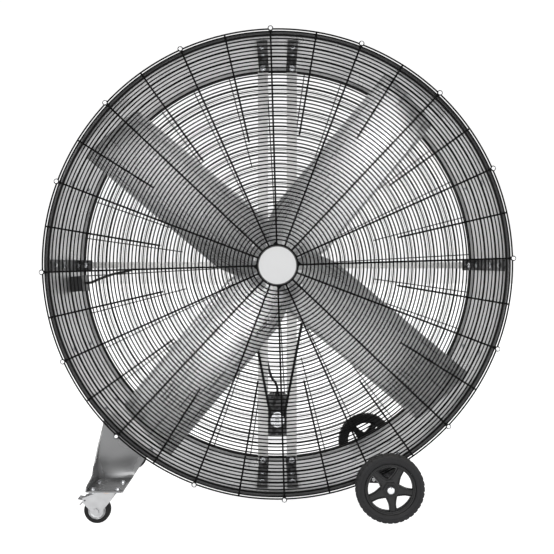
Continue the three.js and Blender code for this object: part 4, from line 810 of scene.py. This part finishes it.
def cable():
    """The motor cable along the route of the solid model, from the box to the motor's gland."""
    box_face, box_y, box_angle = 744.85, 78, math.radians(185.3)

    def from_box(inward_by, back, up):
        r = box_face - inward_by
        return r * math.cos(box_angle), box_y + back, r * math.sin(box_angle) + up

    strut, in_strut, behind_strut, behind, top = 135.81, 167.81, 190.81, 66.41, -501.7
    route = [from_box(0, 0, 0), from_box(14, 0, 0), from_box(46, 20, 12), (-650, strut + 6, -34),
             (-610, behind_strut - 14, -25), (-575, behind_strut, -13), (-530, behind_strut - 5, -2),
             (-480, in_strut + 4, 0), (-430, in_strut, 0), (-220, in_strut, 0), (-175, in_strut + 8, 0),
             (-140, behind_strut, -6), (-110, behind_strut, -24), (-80, in_strut, -44), (-62, strut - 6, -58),
             (-55, behind + 24, -90), (-55, behind + 3, -150), (-55, behind, -250), (-47, behind + 2, -330),
             (-34, behind + 10, -400), (-22, behind + 20, -440), (-6, 115.4, top + 34), (0, 123.4, top + 12),
             (0, 123.4, top)]
    s = Surface()
    s.tube([np.array(q) + np.array([0, 0, AXIS_Z]) for q in smooth_path(route, 8)], CABLE_R, 16)
    s.piece("motor_cable_sheath", SHEATH, "cable_rubber", replaces=("motor_cable",))
    ties = Surface()
    for x in CABLE_TIES:
        ties.turned([(5.2, -1.6), (6.2, -1.6), (6.2, 1.6), (5.2, 1.6)], (x, in_strut, AXIS_Z), (1, 0, 0), 20,
                    closed=True)
    ties.piece("cable_ties", BOX, "box_plastic")


cable()

# ---- Saddles ----


def saddle(name, start, end):
    """Curved plate on the drum: r between two radii, clock angle between two limits."""
    s = Surface()
    a = np.linspace(start, end, 24)
    y0, y1, r0, r1 = -HALF + 18, HALF - 18, DRUM_R + 0.3, DRUM_R + 4.3
    section = [(r0, y0), (r1 - 0.8, y0), (r1, y0 + 0.8), (r1, y1 - 0.8), (r1 - 0.8, y1), (r0, y1)]
    rows = [[clock(r, t, y) for r, y in section] for t in a]
    n = len(section)
    s.add(np.array(rows), grid_faces(len(a), n, False, True), np.arange(n)[None, ::-1],
          (len(a) - 1) * n + np.arange(n)[None, :])
    s.piece(name + "_plate", PAINT, "drum_paint", replaces=(name,))


saddle("leg_saddle", 217.5, 238.5)
saddle("axle_saddle", -72, -54)

# ---- Legs ----

LEG_ARC = (221.7, 235.5)  # clock angles of the web's top edge
LEG_TOP_R = 801.9
SHELF_X, SHELF_Z, SHELF_END = (-626.5, -505.5), 120.0, 374.0
WEB_Y = 222.0
LEG_SHEET = 4.0
# Share of the way down with the outer edge's distance from a line, and with the flange's width.
OUTER_EDGE = ((0.0, 0.0), (0.4, -8.0), (0.75, -9.0), (0.92, 0.0), (1.0, 0.0))
FLANGE = ((0.0, 6.0), (0.35, 16.0), (0.72, 40.0), (0.86, 70.0), (0.92, 152.0), (1.0, 152.0))
# Share of the arc where the crease starts, and the slope of the sheet on either side of it.
CREASE_TOP, CREASE_LEAN, CREASE_SIDE = 0.62, 0.20, -0.12


def leg(name, side):
    """Folded sheet: a web between the drum's arc and the shelf's line, bent along a crease from the arc
    to the outer corner, with the shelf and a flange that widens downwards turned out of its edges."""
    sheet = Surface()
    u, v = np.meshgrid(np.linspace(0, 1, 17), np.linspace(0, 1, 33))
    a = np.radians(LEG_ARC[0] + (LEG_ARC[1] - LEG_ARC[0]) * u)
    low = SHELF_X[0] + (SHELF_X[1] - SHELF_X[0]) * u
    outer = np.interp(v, *zip(*OUTER_EDGE)) * (1 - u)
    x = LEG_TOP_R * np.cos(a) * (1 - v) + low * v + outer
    z = (AXIS_Z + LEG_TOP_R * np.sin(a)) * (1 - v) + SHELF_Z * v
    away = u - CREASE_TOP * (1 - v)
    fold = np.where(away < 0, -away * CREASE_LEAN, away * CREASE_SIDE) * (SHELF_X[1] - SHELF_X[0])
    y = WEB_Y + fold * (1 - v ** 6)
    web = np.stack([x, side * y, z], -1)
    out = np.linspace(0, 1, 9)[1:]
    width = np.interp(v[:, 0], *zip(*FLANGE))

    def turned_out(line, reach):
        """Rows from an edge of the web out to a reach, as shares of the way."""
        xe, ye, ze = x[line], y[line], z[line]
        return [web[line]] + [np.stack([xe, side * (ye + (reach - ye) * t), ze], -1) for t in out]

    flange, shelf = turned_out(np.s_[:, 0], WEB_Y + width), turned_out(-1, SHELF_END)
    for rows in (web, np.array(flange), np.array(shelf)):
        sheet.add(rows, grid_faces(*rows.shape[:2]))
    obj = sheet.piece(name + "_sheet", LEG, "leg_steel", replaces=(name,), angle=35)
    thick = obj.modifiers.new("Thickness", "SOLIDIFY")
    thick.thickness = LEG_SHEET * MM
    thick.offset = 0.0
    soften(obj, 1.6)


leg("front_leg", -1)
leg("rear_leg", 1)

# ---- Wheels on the right ----


def tyre(name, side):
    """Tyre section with tread blocks: its crown is lowered between blocks staggered from side to side."""
    s = Surface()
    inner = 86.0
    flank = [(inner, 14.5), (inner + 1.5, 17.5), (inner + 5, 19.5), (inner + 12, 21.3), (inner + 13, 20.6),
             (inner + 15, 20.6), (inner + 16, 21.6), (107.5, 22), (111.5, 20.6), (114.0, 17.6), (115.3, 14.0),
             (WHEEL_R, 9.5), (WHEEL_R, 4.5), (WHEEL_R, 1.2)]
    section = [(r, -h) for r, h in flank] + flank[::-1]
    y = np.array([h for _, h in section])
    r0 = np.array([r for r, _ in section])
    blocks = 36

    def ripple(t, k):
        lane = np.where(y[k] > 0, 0.5, 0.0)
        wave = np.cos(2 * math.pi * (blocks * (t / (2 * math.pi)) + lane))
        cutting = np.clip((-wave - 0.45) * 6, 0, 1)
        tread = np.clip((r0[k] - 106.0) / 5.0, 0, 1)
        centre = np.where(np.abs(y[k]) < 2.0, 2.6, 0.0)
        return -tread * np.maximum(2.0 * cutting, centre)

    s.turned(section, (WHEEL_X, side * WHEEL_Y, WHEEL_R), (0, 1, 0), 432, closed=True, ripple=ripple)
    s.piece(name + "_tyre_rubber", TYRE, "tyre_rubber", name + "_wheel", (name + "_tyre",), angle=32)


SPOKE_HALF, SPOKE_FLARE = 12.5, 7.0  # half a rim spoke's width, and what the hub's end adds
FIRST_RIM_SPOKE = -82
WINDOW = (34, 74)  # radii


def rim(name, side):
    """Disc of five ribbed spokes: the faces between two spokes' edges are left out where a window is."""
    s = Surface()
    radii = [13.0, 17.0, 24.0, 31.0, 34.0, 44.0, 54.0, 64.0, 74.0, 75.5, 79.0]
    lift = [1.5, 1.5, 0.0, 0.4, 2.0, 2.0, 2.0, 2.0, 2.0, 2.6, 3.0]
    across = [-1.0, -0.88, -0.68, -0.55, 0.0, 0.55, 0.68, 0.88, 1.0]
    ribs = [-2.0, 1.8, 1.8, -1.4, -1.8, -1.4, 1.8, 1.8, -2.0]
    gap = np.linspace(0, 1, 8)[1:-1]
    rows = []
    for r, h in zip(radii, lift):
        half_width = SPOKE_HALF + SPOKE_FLARE * max(0.0, min((56.0 - r) / 22.0, 1.0)) ** 1.5
        half = math.degrees(math.asin(min(half_width / max(r, 12), 0.58)))
        row = []
        for k in range(5):
            mid = FIRST_RIM_SPOKE + 72 * k
            for c, rib in zip(across, ribs):
                row.append((r, mid + c * half, h + (rib if WINDOW[0] <= r <= WINDOW[1] else 0.0)))
            for g in gap:
                low = 2.0 if WINDOW[0] <= r <= WINDOW[1] else 0.0
                row.append((r, mid + half + g * (72 - 2 * half), h - low))
        rows.append(row)
    cols = len(rows[0])
    y0 = side * (WHEEL_Y + 11.0)
    front = np.array([[(WHEEL_X + r * math.cos(math.radians(a)), y0 + side * (h + 1.0),
                        WHEEL_R + r * math.sin(math.radians(a))) for r, a, h in row] for row in rows])
    back = front - np.array([0, side * 11.0, 0])
    keep = np.ones((len(radii) - 1, cols), bool)
    for i, r in enumerate(radii[:-1]):
        for j in range(cols):
            if 8 <= j % 15 <= 14 and WINDOW[0] <= r < WINDOW[1]:
                keep[i, j] = False
    f = grid_faces(len(radii), cols, False, True, keep)
    n = len(radii) * cols
    s.add(np.concatenate([front.reshape(-1, 3), back.reshape(-1, 3)]), f, f[:, ::-1] + n)
    edges = {}
    for quad in f.tolist():
        for a, b in zip(quad, quad[1:] + quad[:1]):
            edges[(a, b)] = True
    walls = [(a, a + n, b + n, b) for a, b in edges if (b, a) not in edges]
    s.faces.append(np.array(walls))
    bed = [(79, 9), (85.7, 9), (85.7, 15), (84, 16.5), (80, 16), (78, 12), (77.5, -15), (79, -15), (85.7, -15),
           (85.7, 9)]
    s.turned(bed, (WHEEL_X, side * WHEEL_Y, WHEEL_R), (0, side, 0), 120)
    s.turned([(9.9, 21), (12, 22), (15.5, 22), (17, 20.5), (17, -22), (9.9, -22)],
             (WHEEL_X, side * WHEEL_Y, WHEEL_R), (0, side, 0), 48, closed=True)
    collar = [(17, 4), (17, 7), (24, 7), (26, 5.4), (26, 0), (17, 0)]
    s.turned(collar, (WHEEL_X, y0, WHEEL_R), (0, side, 0), 6)
    s.piece(name + "_rim_disc", RIM, "rim_plastic", name + "_wheel", (name + "_rim",), angle=35)
    cap = Surface()
    y1 = side * 341.4
    cap.turned([(0, 9), (6, 8.7), (10, 7.6), (12.4, 5.4), (13, 3), (13, 0.2), (9.8, 0.2)],
               (WHEEL_X, y1, WHEEL_R), (0, side, 0), 40)
    cap.piece(name + "_axle_cap_shell", ZINC, "zinc_plate", replaces=(name + "_axle_cap",))


for wheel, side in (("front", -1), ("rear", 1)):
    tyre(wheel, side)
    rim(wheel, side)

axle = Surface()
axle.turned([(0, -347), (9.5, -347), (9.5, -296.6), (14, -296.6), (14, 296.6), (9.5, 296.6), (9.5, 347),
             (0, 347)], (WHEEL_X, 0, WHEEL_R), (0, 1, 0), 40)
axle.piece("wheel_axle_tube", ZINC, "zinc_plate", replaces=("wheel_axle",))

# ---- Casters ----


def caster(name, side):
    """Wheel, its pressed hub, the plate's bolts and the ball race; plate, fork and bolt are solid nodes."""
    wheel, hub = Surface(), Surface()
    centre = (CASTER_X - TRAIL, side * CASTER_Y, CASTER_R)
    tread = [(29.2, -14), (33, -15), (39.5, -14.6), (42.4, -12.6), (43.7, -9), (44, -4), (44, 4), (43.7, 9),
             (42.4, 12.6), (39.5, 14.6), (33, 15), (29.2, 14)]
    wheel.turned(tread, centre, (0, 1, 0), 96, closed=True)
    for s in (-1, 1):
        hub.turned([(6.4, 16), (11.5, 16), (13, 14.8), (14.5, 11.5), (19, 9.8), (24, 10.6), (26.6, 13.4),
                    (28.0, 14.4), (29.1, 13.6), (29.1, 0)], centre, (0, s, 0), 72)
    wheel.piece(name + "_caster_rubber", BELT, "belt_rubber", name + "_caster_wheel",
                (name + "_caster_tyre",))
    hub.piece(name + "_caster_rim", FORK, "zinc_plate", name + "_caster_wheel", (name + "_caster_hub",))
    bolts = Surface()
    for x in (-40.5, 40.5):
        for y in (-38, 38):
            bolts.bolt((CASTER_X + x, side * CASTER_Y + y, 122.0), (0, 0, 1), 6.5, 5.0, 9.5, turn=x)
            bolts.bolt((CASTER_X + x, side * CASTER_Y + y, 113.6), (0, 0, -1), 6.0, 3.6, 0, turn=y)
    bolts.piece(name + "_caster_plate_bolts", ZINC, "zinc_plate")
    race = Surface()
    race.turned([(24, 1.2), (28.4, 0.6), (29.2, -1.6), (28.6, -3.8), (26, -5.0), (20, -5.0)],
                (CASTER_X, side * CASTER_Y, 110.6), (0, 0, 1), 48)
    race.piece(name + "_caster_race", COPPER, "zinc_plate")


for name, side in (("front", -1), ("rear", 1)):
    caster(name, side)

# ---- Bolts ----


# Clock angles, depths behind the front edge, and the radius that the outer heads sit on.
WALL_BOLTS = (
    ((158.2, 202.6, 22.0, -23.5), (130, 335), 797.2),
    ((219.9, 235.6), (76, 245, 421), 801.3),
    ((-57.5, -62.5, -68.5), (85, 259, 433), 801.3),
)
INNER_FACE, FOOT_FACE, OUTER_FACE = 794.8, 787.5, 797.2
CHANNEL_X = 55


def wall_bolts():
    """Bolts through the drum's wall and in the feet, the channels, the strut and the motor's plate."""
    inner, outer = Surface(), Surface()
    for angles, depths, outer_r in WALL_BOLTS:
        for angle in angles:
            for depth in depths:
                inner.bolt(clock(INNER_FACE, angle, -HALF + depth), inward(angle), 6.5, 5.5, 11)
                outer.dome(clock(outer_r, angle, -HALF + depth), -inward(angle))
    for x in (-CHANNEL_X, CHANNEL_X):
        for z in (1, -1):
            for y in (-120, -20, 40):
                angle = z * math.degrees(math.acos(x / 790.0))
                inner.bolt(clock(FOOT_FACE, angle, y), inward(angle), 6.5, 5.5, 11)
                outer.dome(clock(OUTER_FACE, angle, y), -inward(angle))
            inner.bolt((x, 12.2, AXIS_Z + z * 745), (0, -1, 0), 6.5, 5.5, 11)
        for z in (-42, 42):
            inner.bolt((x, 11.2, AXIS_Z + z), (0, -1, 0), 6.5, 5.5, 10)
        for z in (-62, 62):
            inner.bolt((x, 66.9, MOTOR_Z + z), (0, 1, 0), 6.0, 5.0, 10)
    for x in (-1, 1):
        for y in (-170, -60, 120):
            outer.dome(clock(OUTER_FACE, 0 if x > 0 else 180, y), (x, 0, 0))
            inner.bolt(clock(787.2, 0 if x > 0 else 180, y), (-x, 0, 0), 6.5, 5.5, 11)
        inner.bolt((x * 760, 130.3, AXIS_Z), (0, -1, 0), 6.5, 5.5, 10)
    inner.piece("wall_bolts", ZINC, "zinc_plate")
    outer.piece("wall_bolt_heads", ZINC, "zinc_plate")


wall_bolts()

# ---- Solid-model nodes that stay: materials and rounded edges ----

KEPT = {
    GALV: ("left_mount_channel", "right_mount_channel", "cross_strut"),
    FRAME: ("upper_left_channel_foot", "upper_right_channel_foot",
            "lower_left_channel_foot", "lower_right_channel_foot", "left_strut_foot", "right_strut_foot",
            "motor_mount_plate", "front_axle_lug", "rear_axle_lug"),
    HUB: ("hub_spider", "bearing_plate"),
    BOX: ("switch_box", "switch_box_cover", "speed_knob"),
    FORK: ("front_caster_plate", "rear_caster_plate", "front_caster_fork", "rear_caster_fork",
           "front_caster_bolt", "rear_caster_bolt"),
    PEDAL: ("front_brake_pedal", "rear_brake_pedal"),
}
for finish, names in KEPT.items():
    for name in names:
        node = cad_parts[name]
        if node.material_slots:
            for slot in node.material_slots:
                slot.material = finish
        else:
            node.data.materials.append(finish)
        soften(node, 0.9)
